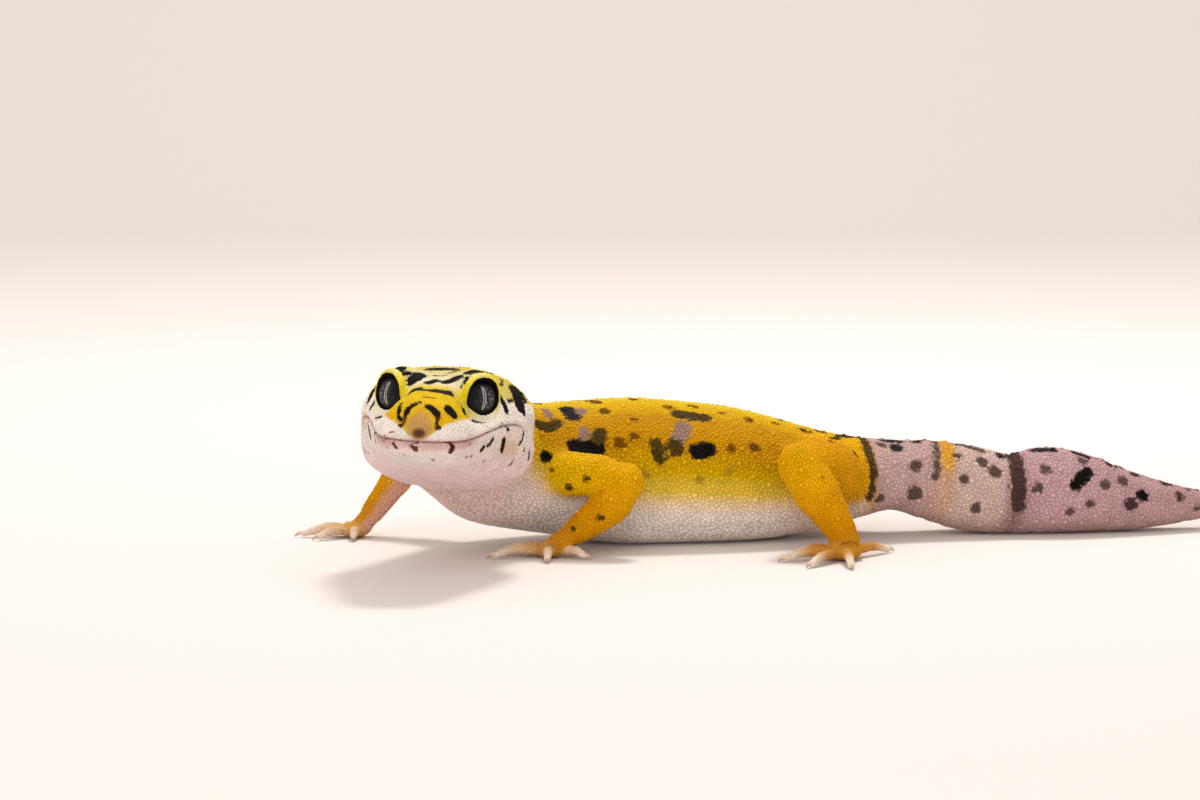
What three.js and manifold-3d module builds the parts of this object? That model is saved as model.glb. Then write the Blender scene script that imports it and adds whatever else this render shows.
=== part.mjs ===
// Leopard gecko, a sub-adult about 150 mm long, as a still life-size model.
// Units are millimetres, +Z is up and the floor is Z = 0. The trunk lies roughly along X with
// the head end at -X and the tail at +X, and the head is turned to the animal's left, to -Y.
// The group at the end moves everything so that the origin is the middle of the footprint.

import * as THREE from "three";
import { mergeVertices } from "three/addons/utils/BufferGeometryUtils.js";
import Module from "manifold-3d";

const wasm = await Module();
wasm.setup();

// ---------- driving dimensions ----------

const CUT = 0.3; // gap between neighbouring pieces
const HEAD_ORIGIN = [-18.3, 0, 20.7]; // midway between the eyes
const HEAD_TURN = -6.8; // degrees of the snout away from straight -Y, towards -X
const HEAD_PITCH = 1.5; // degrees, snout up
const HEAD_ROLL = 2.4; // degrees, the animal's left side down
const HEAD_AXIS_DROP = 4.5; // the head's loft axis lies this far below the eyes
const SNOUT_TIP = 12.0; // eyes to tip of snout
const SNOUT_ROUND = 2.7; // length over which the snout rounds off
const EYE_RADIUS = 3.05;
const EYE_SIDE = 3.85; // eyeball centre from the midline
const EYE_BACK = 0.3; // eyeball centre behind the head's origin
const EYE_TURN = 37; // degrees of the eye's axis away from straight ahead
const EYE_LIFT = 8; // degrees of the eye's axis above the head's level
const LID_THICKNESS = 0.7;
const LID_RING = 2.3; // radius of the ring of thick skin round the eye
const LID_FORWARD = 0.72; // the ring lies this share of the radius in front of the eyeball's centre
const ORBIT_WALL = 0.2; // skin over the back of an eyeball
const HOLLOW_AT = [4.4, 6.9, 1.3]; // the hollow in front of an eye: ahead, to the side, above
const HOLLOW_RADII = [4.7, 3.8, 3.75]; // its reach ahead, to the side and up
const HOLLOW_TOE_IN = 13; // degrees between a hollow's long axis and straight ahead
const MOUTH_FRONT = [11.5, -3.9]; // the closed mouth at the snout: ahead of the eyes, below them
const MOUTH_CORNER = [-7.0, -3.4]; // and at its two corners

const SKIN = 0xd9b02a;
const TAIL_SKIN = 0xb79aa0;
const EYE = 0x1b1a1c;

// ---------- small helpers ----------

const rad = THREE.MathUtils.degToRad;
const vec = (p) => new THREE.Vector3(...p);
const UP = new THREE.Vector3(0, 0, 1);

function headFrame() {
  const turn = rad(HEAD_TURN);
  const pitch = rad(HEAD_PITCH);
  const roll = rad(HEAD_ROLL);
  const forward = vec([Math.sin(turn) * Math.cos(pitch), -Math.cos(turn) * Math.cos(pitch), Math.sin(pitch)]);
  const level = new THREE.Vector3().crossVectors(UP, forward).normalize();
  const up = new THREE.Vector3().crossVectors(forward, level).applyAxisAngle(forward, -roll);
  const left = new THREE.Vector3().crossVectors(up, forward);
  return { forward, left, up };
}

const HEAD = headFrame();

// A point of the head: ahead of the eyes, to the animal's left, above the eyes.
function inHead(ahead, left, above) {
  return vec(HEAD_ORIGIN)
    .addScaledVector(HEAD.forward, ahead)
    .addScaledVector(HEAD.left, left)
    .addScaledVector(HEAD.up, above);
}

function toSolid(geometry) {
  const bare = new THREE.BufferGeometry();
  bare.setAttribute("position", geometry.getAttribute("position"));
  if (geometry.index) bare.setIndex(geometry.index);
  const merged = mergeVertices(bare, 1e-4);
  return new wasm.Manifold(
    new wasm.Mesh({
      numProp: 3,
      vertProperties: new Float32Array(merged.attributes.position.array),
      triVerts: new Uint32Array(merged.index.array),
    }),
  );
}

function toGeometry(solid) {
  const mesh = solid.getMesh();
  const positions = new Float32Array(mesh.numVert * 3);
  for (let i = 0; i < mesh.numVert; i++) {
    positions.set(mesh.vertProperties.subarray(i * mesh.numProp, i * mesh.numProp + 3), i * 3);
  }
  const geometry = new THREE.BufferGeometry();
  geometry.setAttribute("position", new THREE.BufferAttribute(positions, 3));
  geometry.setIndex(new THREE.BufferAttribute(new Uint32Array(mesh.triVerts), 1));
  return geometry;
}

const join = (solids) => solids.reduce((all, one) => all.add(one));

// A closed skin over rings of points: each ring is an outline, and both ends are capped.
// Consecutive rings go along the piece, and each ring turns so that the faces point out.
function skinOver(rings) {
  const sides = rings[0].length;
  const points = rings.flat();
  const faces = [];
  for (let i = 0; i + 1 < rings.length; i++) {
    for (let j = 0; j < sides; j++) {
      const a = i * sides + j;
      const b = i * sides + ((j + 1) % sides);
      faces.push(a, b, b + sides, a, b + sides, a + sides);
    }
  }
  for (const [ring, flip] of [[0, true], [rings.length - 1, false]]) {
    const middle = new THREE.Vector3();
    rings[ring].forEach((p) => middle.addScaledVector(p, 1 / sides));
    points.push(middle);
    for (let j = 0; j < sides; j++) {
      const a = ring * sides + j;
      const b = ring * sides + ((j + 1) % sides);
      faces.push(points.length - 1, ...(flip ? [b, a] : [a, b]));
    }
  }
  const geometry = new THREE.BufferGeometry();
  geometry.setAttribute("position", new THREE.Float32BufferAttribute(points.flatMap((p) => [p.x, p.y, p.z]), 3));
  geometry.setIndex(faces);
  const solid = toSolid(geometry);
  if (solid.volume() > 0) return solid;
  for (let i = 0; i < faces.length; i += 3) [faces[i + 1], faces[i + 2]] = [faces[i + 2], faces[i + 1]];
  geometry.setIndex(faces);
  return toSolid(geometry);
}

// ---------- the body: one line of stations from snout to tail tip ----------

// Each station: where the axis is, half width, height above and depth below the axis, the level
// of the widest point, and how square the upper and the lower half are (2 is an ellipse).
const headStation = (ahead, width, top, bottom, widest, squareTop, squareBottom) => ({
  at: inHead(ahead, 0, -HEAD_AXIS_DROP).toArray(),
  size: [width, top + HEAD_AXIS_DROP, -bottom - HEAD_AXIS_DROP],
  form: [widest + HEAD_AXIS_DROP, squareTop, squareBottom],
  roll: HEAD_ROLL,
});

const bodyStation = (at, width, top, bottom, squareBottom = 2.1, squareTop = 2.0) => ({
  at,
  size: [width, top, bottom],
  form: [-0.1 * top, squareTop, squareBottom],
  roll: 0,
});

const STATIONS = [
  // snout, eyes, jaw corners, back of the head: levels are measured from the eyes
  headStation(12.0, 4.3, -0.5, -6.0, -3.4, 2.0, 2.3),
  headStation(9.0, 5.2, 0.5, -7.0, -3.5, 2.1, 2.3),
  headStation(6.0, 6.2, 1.3, -7.9, -3.6, 2.2, 2.5),
  headStation(3.0, 7.1, 2.1, -8.7, -3.8, 2.3, 2.7),
  headStation(0.0, 8.1, 2.7, -9.4, -4.0, 2.3, 2.9),
  headStation(-3.0, 9.2, 3.0, -10.0, -4.0, 2.3, 3.1),
  headStation(-6.0, 9.9, 3.1, -10.5, -3.9, 2.4, 3.3),
  headStation(-8.5, 10.0, 3.0, -11.1, -3.9, 2.4, 3.3),
  headStation(-11.0, 9.3, 2.8, -11.9, -4.1, 2.35, 2.9),
  headStation(-13.5, 8.0, 2.3, -13.0, -4.6, 2.25, 2.3),
  // neck and shoulders
  bodyStation([-15.0, 18.9, 13.9], 7.2, 6.4, 8.7),
  bodyStation([-12.7, 22.6, 11.4], 7.7, 7.2, 8.4),
  bodyStation([-8.6, 25.9, 9.9], 8.6, 7.5, 8.1),
  bodyStation([-3.4, 28.4, 9.3], 9.3, 8.1, 8.6),
  // ribs and belly, which lies on the floor
  bodyStation([2.6, 30.1, 8.9], 9.8, 8.7, 9.1, 2.4),
  bodyStation([8.8, 31.4, 8.6], 10.2, 8.5, 8.85, 2.5),
  bodyStation([15.0, 32.3, 8.1], 9.9, 8.2, 8.35, 2.5),
  bodyStation([20.8, 33.0, 7.6], 9.0, 7.3, 7.6, 2.4),
  // hips and the narrow root of the tail
  bodyStation([26.2, 33.6, 7.4], 7.9, 6.0, 6.4, 2.2),
  bodyStation([31.3, 34.2, 7.5], 6.5, 4.9, 5.3),
  bodyStation([36.0, 34.9, 7.5], 5.0, 4.4, 4.4),
  bodyStation([40.6, 35.6, 6.9], 4.7, 4.9, 5.1),
  // the fat tail on the floor, then its tapering end
  bodyStation([45.5, 36.4, 5.9], 4.9, 5.1, 5.6),
  bodyStation([50.5, 37.0, 4.9], 4.9, 5.0, 5.1),
  bodyStation([55.5, 37.5, 5.1], 5.3, 5.6, 5.25),
  bodyStation([60.5, 38.0, 4.7], 5.0, 4.9, 4.8),
  bodyStation([65.5, 38.5, 3.9], 4.0, 3.8, 3.9),
  bodyStation([70.5, 39.2, 3.4], 2.9, 2.7, 2.9),
  bodyStation([75.5, 40.3, 3.1], 1.95, 1.8, 1.9),
  bodyStation([80.5, 42.0, 2.9], 1.3, 1.2, 1.3),
  bodyStation([85.5, 44.4, 2.8], 0.85, 0.8, 0.85),
  bodyStation([89.5, 46.9, 2.9], 0.6, 0.6, 0.6),
];
const HEAD_STEP = 3.0; // distance between the first stations
const TAIL_ROUND = 0.35; // how much of the last station's stretch rounds off

const smoothLine = (points) => new THREE.CatmullRomCurve3(points.map(vec), false, "catmullrom", 0.5);
const AXIS = smoothLine(STATIONS.map((s) => s.at));
const SIZE = smoothLine(STATIONS.map((s) => s.size));
const FORM = smoothLine(STATIONS.map((s) => s.form));
const ROLL = smoothLine(STATIONS.map((s) => [s.roll, 0, 0]));
const LAST = STATIONS.length - 1;

// The share of full size left where an end rounds off like an ellipse.
const rounding = (distance, length) => (distance >= length ? 1 : Math.sqrt(1 - (1 - distance / length) ** 2));

const signedPower = (value, power) => Math.sign(value) * Math.abs(value) ** power;

// The outline of the body at a station number that need not be whole, grown by extra.
function bodyRing(station, sides, extra = 0) {
  const u = THREE.MathUtils.clamp(station / LAST, 0, 1);
  const at = AXIS.getPoint(u);
  const size = SIZE.getPoint(u);
  const form = FORM.getPoint(u);
  const along = AXIS.getTangent(u);
  const up = UP.clone().addScaledVector(along, -UP.dot(along)).normalize();
  up.applyAxisAngle(along, rad(ROLL.getPoint(u).x));
  const left = new THREE.Vector3().crossVectors(along, up);
  const shrink = rounding(station * HEAD_STEP, SNOUT_ROUND) * rounding(LAST - station, TAIL_ROUND);
  const ring = [];
  for (let j = 0; j < sides; j++) {
    const angle = (2 * Math.PI * j) / sides;
    const upper = Math.sin(angle) >= 0;
    const power = 2 / (upper ? form.y : form.z);
    const across = signedPower(Math.cos(angle), power) * (size.x + extra);
    const reach = upper ? size.y - form.x : size.z + form.x;
    const height = signedPower(Math.sin(angle), power) * (reach + extra);
    ring.push(
      at
        .clone()
        .addScaledVector(left, across * shrink)
        .addScaledVector(up, form.x + height * shrink),
    );
  }
  return ring;
}

// The body between two stations, with a ring about every step stations and finer at round ends.
function bodyPiece(from, to, step, sides, extra = 0) {
  const marks = [];
  const count = Math.max(2, Math.round((to - from) / step));
  for (let i = 0; i <= count; i++) marks.push(from + ((to - from) * i) / count);
  if (from <= 0) marks.splice(0, 1, 0.004, 0.04, 0.12);
  if (to >= LAST) marks.splice(-1, 1, LAST - 0.12, LAST - 0.03, LAST - 0.003);
  return skinOver(marks.map((m) => bodyRing(m, sides, extra)));
}

// How many stations CUT covers at a given station.
function cutAt(station) {
  const here = AXIS.getPoint(station / LAST);
  const near = AXIS.getPoint((station + 0.01) / LAST);
  return (CUT * 0.01) / here.distanceTo(near);
}

// Everything under the floor is cut away, which leaves the small flats that the animal rests on.
const onFloor = (solid) => solid.trimByPlane([0, 0, 1], 0);

// ---------- eyes and lids ----------

function eyeSphere(side, radius, sides = 14, rings = 9) {
  const at = inHead(-EYE_BACK, side * EYE_SIDE, 0);
  return toSolid(new THREE.SphereGeometry(radius, sides, rings).translate(at.x, at.y, at.z));
}

function eyeAxis(side) {
  return new THREE.Vector3()
    .addScaledVector(HEAD.forward, Math.cos(rad(EYE_TURN)))
    .addScaledVector(HEAD.left, side * Math.sin(rad(EYE_TURN)))
    .addScaledVector(HEAD.up, Math.tan(rad(EYE_LIFT)))
    .normalize();
}

// The centre of the ring of skin round an eye.
function lidCentre(side) {
  return inHead(-EYE_BACK, side * EYE_SIDE, 0).addScaledVector(eyeAxis(side), EYE_RADIUS * LID_FORWARD);
}

// The ring of thick skin round an eye: a torus that faces along the eye's axis.
function lidRing(side) {
  const axis = eyeAxis(side);
  const at = lidCentre(side);
  const torus = new THREE.TorusGeometry(LID_RING, LID_THICKNESS, 6, 16);
  const upright = new THREE.Matrix4().lookAt(axis, new THREE.Vector3(), HEAD.up);
  torus.applyMatrix4(upright).translate(at.x, at.y, at.z);
  return toSolid(torus);
}

// The part of a solid on the side of a plane that the direction points to. The plane lies CUT / 2
// beyond a given point.
function beyond(solid, direction, point) {
  return solid.trimByPlane(direction.toArray(), point.dot(direction) + CUT / 2);
}

// The skin behind an eyeball's ring, a little larger than the ball.
function orbit(side) {
  const back = eyeAxis(side).negate();
  return beyond(eyeSphere(side, EYE_RADIUS + CUT + ORBIT_WALL, 12, 8), back, lidCentre(side));
}

// The hollow between the snout's ridge and the lip, which gives the eye a clear view ahead.
function hollow(side) {
  const [ahead, across, above] = HOLLOW_AT;
  const [long, wide, high] = HOLLOW_RADII;
  const at = inHead(ahead, side * across, above);
  return toSolid(
    new THREE.SphereGeometry(1, 12, 8)
      .scale(wide, long, high)
      .rotateZ(rad(HEAD_TURN - side * HOLLOW_TOE_IN))
      .translate(at.x, at.y, at.z),
  );
}

// The head above the closed mouth and behind its corners, and the lower jaw.
function splitAtMouth(solid) {
  const corner = inHead(MOUTH_CORNER[0], 0, MOUTH_CORNER[1]);
  const front = inHead(MOUTH_FRONT[0], 0, MOUTH_FRONT[1]);
  const above = new THREE.Vector3().crossVectors(front.sub(corner), HEAD.left).normalize();
  const ahead = HEAD.forward;
  const upper = beyond(solid, above, corner).add(beyond(solid, ahead.clone().negate(), corner));
  const jaw = beyond(beyond(solid, above.clone().negate(), corner), ahead, corner);
  return [upper, jaw];
}

// A small pit in the skin, such as a nostril or an ear opening.
function pit(ahead, left, above, length, width, height) {
  const at = inHead(ahead, left, above);
  return toSolid(new THREE.SphereGeometry(1, 6, 4).scale(width, length, height).translate(at.x, at.y, at.z));
}

// ---------- legs ----------

// A tapered limb through joints, each [x, y, z, radius], closed and round at both ends.
function limb(joints, perJoint, sides, flatten = 1, roundEnds = true) {
  const path = smoothLine(joints.map((j) => j.slice(0, 3)));
  const radii = smoothLine(joints.map((j) => [j[3], 0, 0]));
  const length = path.getLength();
  const endShare = (at) => Math.min(0.4, radii.getPoint(at).x / length);
  const [head, tail] = [endShare(0), endShare(1)];
  const marks = roundEnds ? [0.002, 0.3 * head, head] : [0.02 * head, head];
  const between = perJoint * (joints.length - 1);
  for (let i = 1; i < between; i++) marks.push(head + ((1 - head - tail) * i) / between);
  marks.push(...(roundEnds ? [1 - tail, 1 - 0.3 * tail, 0.998] : [1 - tail, 1 - 0.1 * tail]));
  return skinOver(
    marks.map((m) => {
      const at = path.getPoint(m);
      const along = path.getTangent(m);
      const side = new THREE.Vector3().crossVectors(along, UP).normalize();
      const lift = new THREE.Vector3().crossVectors(side, along);
      const radius = radii.getPoint(m).x * rounding(m, head) * rounding(1 - m, tail);
      return Array.from({ length: sides }, (_, j) => {
        const angle = (2 * Math.PI * j) / sides;
        return at
          .clone()
          .addScaledVector(side, Math.cos(angle) * radius)
          .addScaledVector(lift, Math.sin(angle) * radius * flatten);
      });
    }),
  );
}

const TOE_RADIUS = 0.55;
const TOE_ARCH = 1.1; // height of a toe's middle joint
const TOE_TIP = 0.38; // radius of a toe's end

// A pad on the floor with toes, each [direction in degrees, reach from the pad's middle].
function foot(pad, padWidth, padLift, wrist, toes) {
  const solids = [
    limb([[...wrist, padWidth * 0.66], [pad[0], pad[1], padLift, padWidth * 0.78]], 2, 8, 0.8, false),
    toSolid(
      new THREE.SphereGeometry(1, 10, 5)
        .scale(padWidth, padWidth, padLift)
        .translate(pad[0], pad[1], padLift * 0.85),
    ),
  ];
  for (const [direction, reach] of toes) {
    const out = (distance, height, radius) => [
      pad[0] + Math.cos(rad(direction)) * distance,
      pad[1] + Math.sin(rad(direction)) * distance,
      height,
      radius,
    ];
    solids.push(
      limb(
        [
          out(padWidth * 0.45, padLift * 0.8, TOE_RADIUS * 1.2),
          out(padWidth + (reach - padWidth) * 0.45, TOE_ARCH, TOE_RADIUS),
          out(reach, TOE_TIP * 1.1, TOE_TIP),
        ],
        1,
        6,
        1,
        false,
      ),
    );
  }
  return onFloor(join(solids));
}

// Each leg: [x, y, z, radius] at its joints. Hands and feet sit flat on the floor.
const LEGS = {
  fore_left: {
    upper: [[-8.6, 21.6, 9.0, 3.0], [-3.4, 18.7, 9.6, 2.8], [3.0, 16.9, 9.2, 2.5]],
    lower: [[3.5, 16.7, 8.8, 2.55], [0.2, 16.2, 5.4, 2.4], [-4.2, 16.3, 2.2, 1.7]],
    pad: [-6.0, 16.4],
    padWidth: 2.1,
    padLift: 1.1,
    toes: [[132, 4.6], [165, 6.2], [196, 7.0], [268, 5.2], [330, 5.2]],
  },
  fore_right: {
    upper: [[-15.6, 27.6, 10.2, 3.0], [-18.6, 31.6, 10.4, 2.6], [-22.8, 34.0, 10.2, 2.2]],
    lower: [[-23.2, 34.0, 9.9, 2.2], [-25.9, 33.6, 6.0, 1.95], [-28.9, 33.0, 2.0, 1.6]],
    pad: [-30.0, 32.6],
    padWidth: 2.0,
    padLift: 1.1,
    toes: [[268, 3.9], [214, 5.6], [182, 7.0], [152, 6.6], [112, 4.8]],
  },
  hind_left: {
    upper: [[29.4, 28.0, 8.0, 4.0], [26.8, 22.4, 9.8, 3.7], [23.4, 17.9, 11.0, 3.1]],
    lower: [[23.6, 17.2, 10.6, 3.1], [26.6, 15.6, 6.3, 2.65], [29.2, 14.4, 2.1, 1.9]],
    pad: [28.8, 14.2],
    padWidth: 2.5,
    padLift: 1.2,
    toes: [[150, 6.2], [196, 7.6], [236, 8.2], [272, 8.0], [44, 8.2]],
  },
  hind_right: {
    upper: [[28.6, 39.6, 7.4, 3.9], [25.2, 45.0, 8.0, 3.5], [21.8, 49.4, 8.0, 2.9]],
    lower: [[21.6, 49.8, 7.8, 2.9], [22.6, 52.4, 5.0, 2.45], [24.2, 54.6, 2.2, 1.75]],
    pad: [24.0, 55.0],
    padWidth: 2.5,
    padLift: 1.2,
    toes: [[212, 5.8], [170, 7.2], [132, 8.0], [96, 8.0], [18, 7.0]],
  },
};

// ---------- the pieces ----------

const group = new THREE.Group();

function addPiece(name, solid, colour, roughness = 0.6) {
  const material = new THREE.MeshStandardMaterial({ color: colour, roughness, metalness: 0 });
  const mesh = new THREE.Mesh(toGeometry(solid), material);
  mesh.name = name;
  group.add(mesh);
}

// Body pieces from station to station, with the step between rings and the number of sides.
const NECK_START = 9;
const BODY_PIECES = [
  ["neck", NECK_START, 11.6, 0.45, 22, SKIN],
  ["chest", 11.6, 14.4, 0.5, 22, SKIN],
  ["belly", 14.4, 17.2, 0.5, 22, SKIN],
  ["hips", 17.2, 20.2, 0.5, 22, SKIN],
  ["tail_root", 20.2, 23.2, 0.5, 20, TAIL_SKIN],
  ["tail_middle", 23.2, 26.6, 0.5, 20, TAIL_SKIN],
  ["tail_tip", 26.6, LAST, 0.6, 16, TAIL_SKIN],
];

const eyes = { left: 1, right: -1 };
let head = bodyPiece(0, NECK_START - cutAt(NECK_START) / 2, 0.65, 26);
for (const side of Object.values(eyes)) head = head.subtract(hollow(side));
for (const side of Object.values(eyes)) {
  head = head.add(orbit(side)).add(lidRing(side)).subtract(eyeSphere(side, EYE_RADIUS + CUT, 12, 8));
}
for (const side of Object.values(eyes)) {
  head = head.subtract(pit(11.0, side * 2.1, -1.7, 0.5, 0.45, 0.35));
  head = head.subtract(pit(-11.4, side * 8.9, -4.2, 0.9, 1.2, 1.5));
}
const [upperHead, lowerJaw] = splitAtMouth(head);
addPiece("head", upperHead, SKIN);
addPiece("lower_jaw", lowerJaw, SKIN);
for (const [name, side] of Object.entries(eyes)) {
  addPiece("eye_" + name, eyeSphere(side, EYE_RADIUS), EYE, 0.1);
}

for (const [name, from, to, step, sides, colour] of BODY_PIECES) {
  const end = to === LAST ? to : to - cutAt(to) / 2;
  addPiece(name, onFloor(bodyPiece(from + cutAt(from) / 2, end, step, sides)), colour);
}

const bodyWithGap = bodyPiece(NECK_START - 1, 22, 0.5, 22, CUT);
for (const [name, leg] of Object.entries(LEGS)) {
  const lower = limb(leg.lower, 2, 11);
  const ankle = leg.lower[2].slice(0, 3);
  const footSolid = foot(leg.pad, leg.padWidth, leg.padLift, ankle, leg.toes);
  const upper = limb(leg.upper, 2, 12).subtract(bodyWithGap);
  const grown = (joints) => limb(joints.map(([x, y, z, r]) => [x, y, z, r + CUT]), 2, 12);
  addPiece(name + "_upper", upper, SKIN);
  addPiece(name + "_lower", lower.subtract(grown(leg.upper)), SKIN);
  addPiece(name + "_foot", footSolid.subtract(grown(leg.lower)), SKIN);
}

const box = new THREE.Box3().setFromObject(group);
const middle = box.getCenter(new THREE.Vector3());
group.position.set(-middle.x, -middle.y, -box.min.z);

export default group;
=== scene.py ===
# %% [markdown]
# # A leopard gecko, life size
# A sub-adult leopard gecko lies on its belly on the floor, with its head raised and turned to
# its left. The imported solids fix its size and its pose. This script gives it a skin: one closed
# surface from snout to tail and to the tips of the toes, with two eyes, twenty claws and more than
# thirty thousand raised scales on it.

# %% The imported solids
import math

import bpy
import numpy as np
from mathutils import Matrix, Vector


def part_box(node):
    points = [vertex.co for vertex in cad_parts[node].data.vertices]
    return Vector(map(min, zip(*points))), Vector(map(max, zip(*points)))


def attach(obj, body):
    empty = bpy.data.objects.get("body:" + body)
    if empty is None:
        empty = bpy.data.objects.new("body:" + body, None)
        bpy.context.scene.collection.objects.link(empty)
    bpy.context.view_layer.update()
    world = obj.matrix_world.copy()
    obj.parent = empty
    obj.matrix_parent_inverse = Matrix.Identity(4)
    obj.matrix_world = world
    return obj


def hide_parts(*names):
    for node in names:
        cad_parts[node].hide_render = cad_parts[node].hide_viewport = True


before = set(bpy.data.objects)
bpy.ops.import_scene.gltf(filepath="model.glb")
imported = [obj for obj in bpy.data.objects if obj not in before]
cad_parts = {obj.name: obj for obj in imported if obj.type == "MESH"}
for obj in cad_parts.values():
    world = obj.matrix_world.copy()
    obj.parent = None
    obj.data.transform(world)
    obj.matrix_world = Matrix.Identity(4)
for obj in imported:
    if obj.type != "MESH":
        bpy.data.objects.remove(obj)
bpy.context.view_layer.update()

# %% [markdown]
# ## Smooth lines
# A lizard's body has no corners, so every size along it changes smoothly. A few stations, chosen
# where the form changes, could be joined by straight lines, splines or simulated flesh. A
# Catmull-Rom line is used because it passes through each station exactly, so a station's numbers
# are the real sizes at that place, and because it is a short formula.

# %% Smooth lines through stations
def smooth_line(points, at):
    """A uniform Catmull-Rom line. Between two points it is a cubic, whose slope at each of them
    is half the step from the point before to the point after. at counts points from 0."""
    points = np.asarray(points, float)
    ends = 2 * points[[0, -1]] - points[[1, -2]]
    row = np.vstack([ends[:1], points, ends[1:]])
    at = np.clip(np.asarray(at, float), 0, len(points) - 1)
    i = np.minimum(at.astype(int), len(points) - 2)
    t = (at - i)[..., None]
    a, b, c, d = row[i], row[i + 1], row[i + 2], row[i + 3]
    return b + 0.5 * t * (c - a + t * (2 * a - 5 * b + 4 * c - d + t * (3 * b - a - 3 * c + d)))


def unit(vectors):
    """Vectors divided by their lengths."""
    return vectors / np.linalg.norm(vectors, axis=-1, keepdims=True)


def direction_along(points, at):
    """The direction of a smooth line: the step from just before a place to just after it."""
    after = smooth_line(points, np.minimum(at + 0.01, len(points) - 1))
    return unit(after - smooth_line(points, np.maximum(at - 0.01, 0)))


def smooth_step(low, high, value):
    """0 below low, 1 above high, and an S-shaped cubic between them."""
    t = np.clip((value - low) / (high - low), 0, 1)
    return t * t * (3 - 2 * t)


def bump(value, centre, width):
    """A bell of height 1 at the centre: e to the minus square of the distance in widths."""
    return np.exp(-(((value - centre) / width) ** 2))


def full_turn(count):
    """Angles round a full turn, in equal steps."""
    return np.linspace(0, 2 * math.pi, count, endpoint=False)


print("a line through 0, 1, 4 is at", smooth_line([[0.0], [1.0], [4.0]], 1.5), "after 1.5 steps")

# %% [markdown]
# ## The line of the body
# The head has its own frame, midway between the eyes: ahead, to the animal's left, and above.
# Ten stations of the head and twenty-two of the neck, trunk and tail carry the outline of the
# body: half its width, its reach above and below the axis, and how square it is. The numbers are
# the same as in the solids, in millimetres, so skin and solids agree from every side.

# %% The head's frame
HEAD_ORIGIN = np.array([-18.3, 0.0, 20.7])
HEAD_TURN, HEAD_PITCH, HEAD_ROLL = np.radians([-6.8, 1.5, 2.4])
HEAD_AXIS_DROP = 4.5  # the head's axis lies below the eyes
HEAD_STEP = 3.0  # mm from station to station on the front of the head
SNOUT_ROUND = 2.7  # length over which the snout rounds off
SNOUT_DROP = -0.51  # the foremost point lies this much below the widest level, on the mouth
TAIL_ROUND = 0.35  # share of the last stretch that rounds off
Z = np.array([0.0, 0.0, 1.0])


def head_axes():
    """Forward is -Y turned and pitched; up is at a right angle to it, rolled about it."""
    flat = math.cos(HEAD_PITCH)
    forward = np.array([math.sin(HEAD_TURN) * flat, -math.cos(HEAD_TURN) * flat, math.sin(HEAD_PITCH)])
    level = unit(np.cross(Z, forward))
    up = np.cross(forward, level)
    up = up * math.cos(HEAD_ROLL) - np.cross(forward, up) * math.sin(HEAD_ROLL)
    return np.array([forward, np.cross(up, forward), up])


HEAD_AXES = head_axes()
print("the head looks along", HEAD_AXES[0].round(2))


def from_head(places):
    """Points of the head (ahead, left, above) in the body's frame."""
    return HEAD_ORIGIN + np.asarray(places, float) @ HEAD_AXES


def to_head(points):
    """Points of the body's frame as places on the head (ahead, left, above)."""
    return (points - HEAD_ORIGIN) @ HEAD_AXES.T


# %% The stations
# ahead, half width, top, bottom, level of the widest point, squareness above and below (2 is an
# ellipse); levels are measured from the eyes
HEAD_STATIONS = np.array([
    [12.0, 4.3, -0.5, -6.0, -3.4, 2.0, 2.3],
    [9.0, 5.2, 0.5, -7.0, -3.5, 2.1, 2.3],
    [6.0, 6.2, 1.3, -7.9, -3.6, 2.2, 2.5],
    [3.0, 7.1, 2.1, -8.7, -3.8, 2.3, 2.7],
    [0.0, 8.1, 2.7, -9.4, -4.0, 2.3, 2.9],
    [-3.0, 9.2, 3.0, -10.0, -4.0, 2.3, 3.1],
    [-6.0, 9.9, 3.1, -10.5, -3.9, 2.4, 3.3],
    [-8.5, 10.0, 3.0, -11.1, -3.9, 2.4, 3.3],
    [-11.0, 9.3, 2.8, -11.9, -4.1, 2.35, 2.9],
    [-13.5, 8.0, 2.3, -13.0, -4.6, 2.25, 2.3],
])
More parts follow.
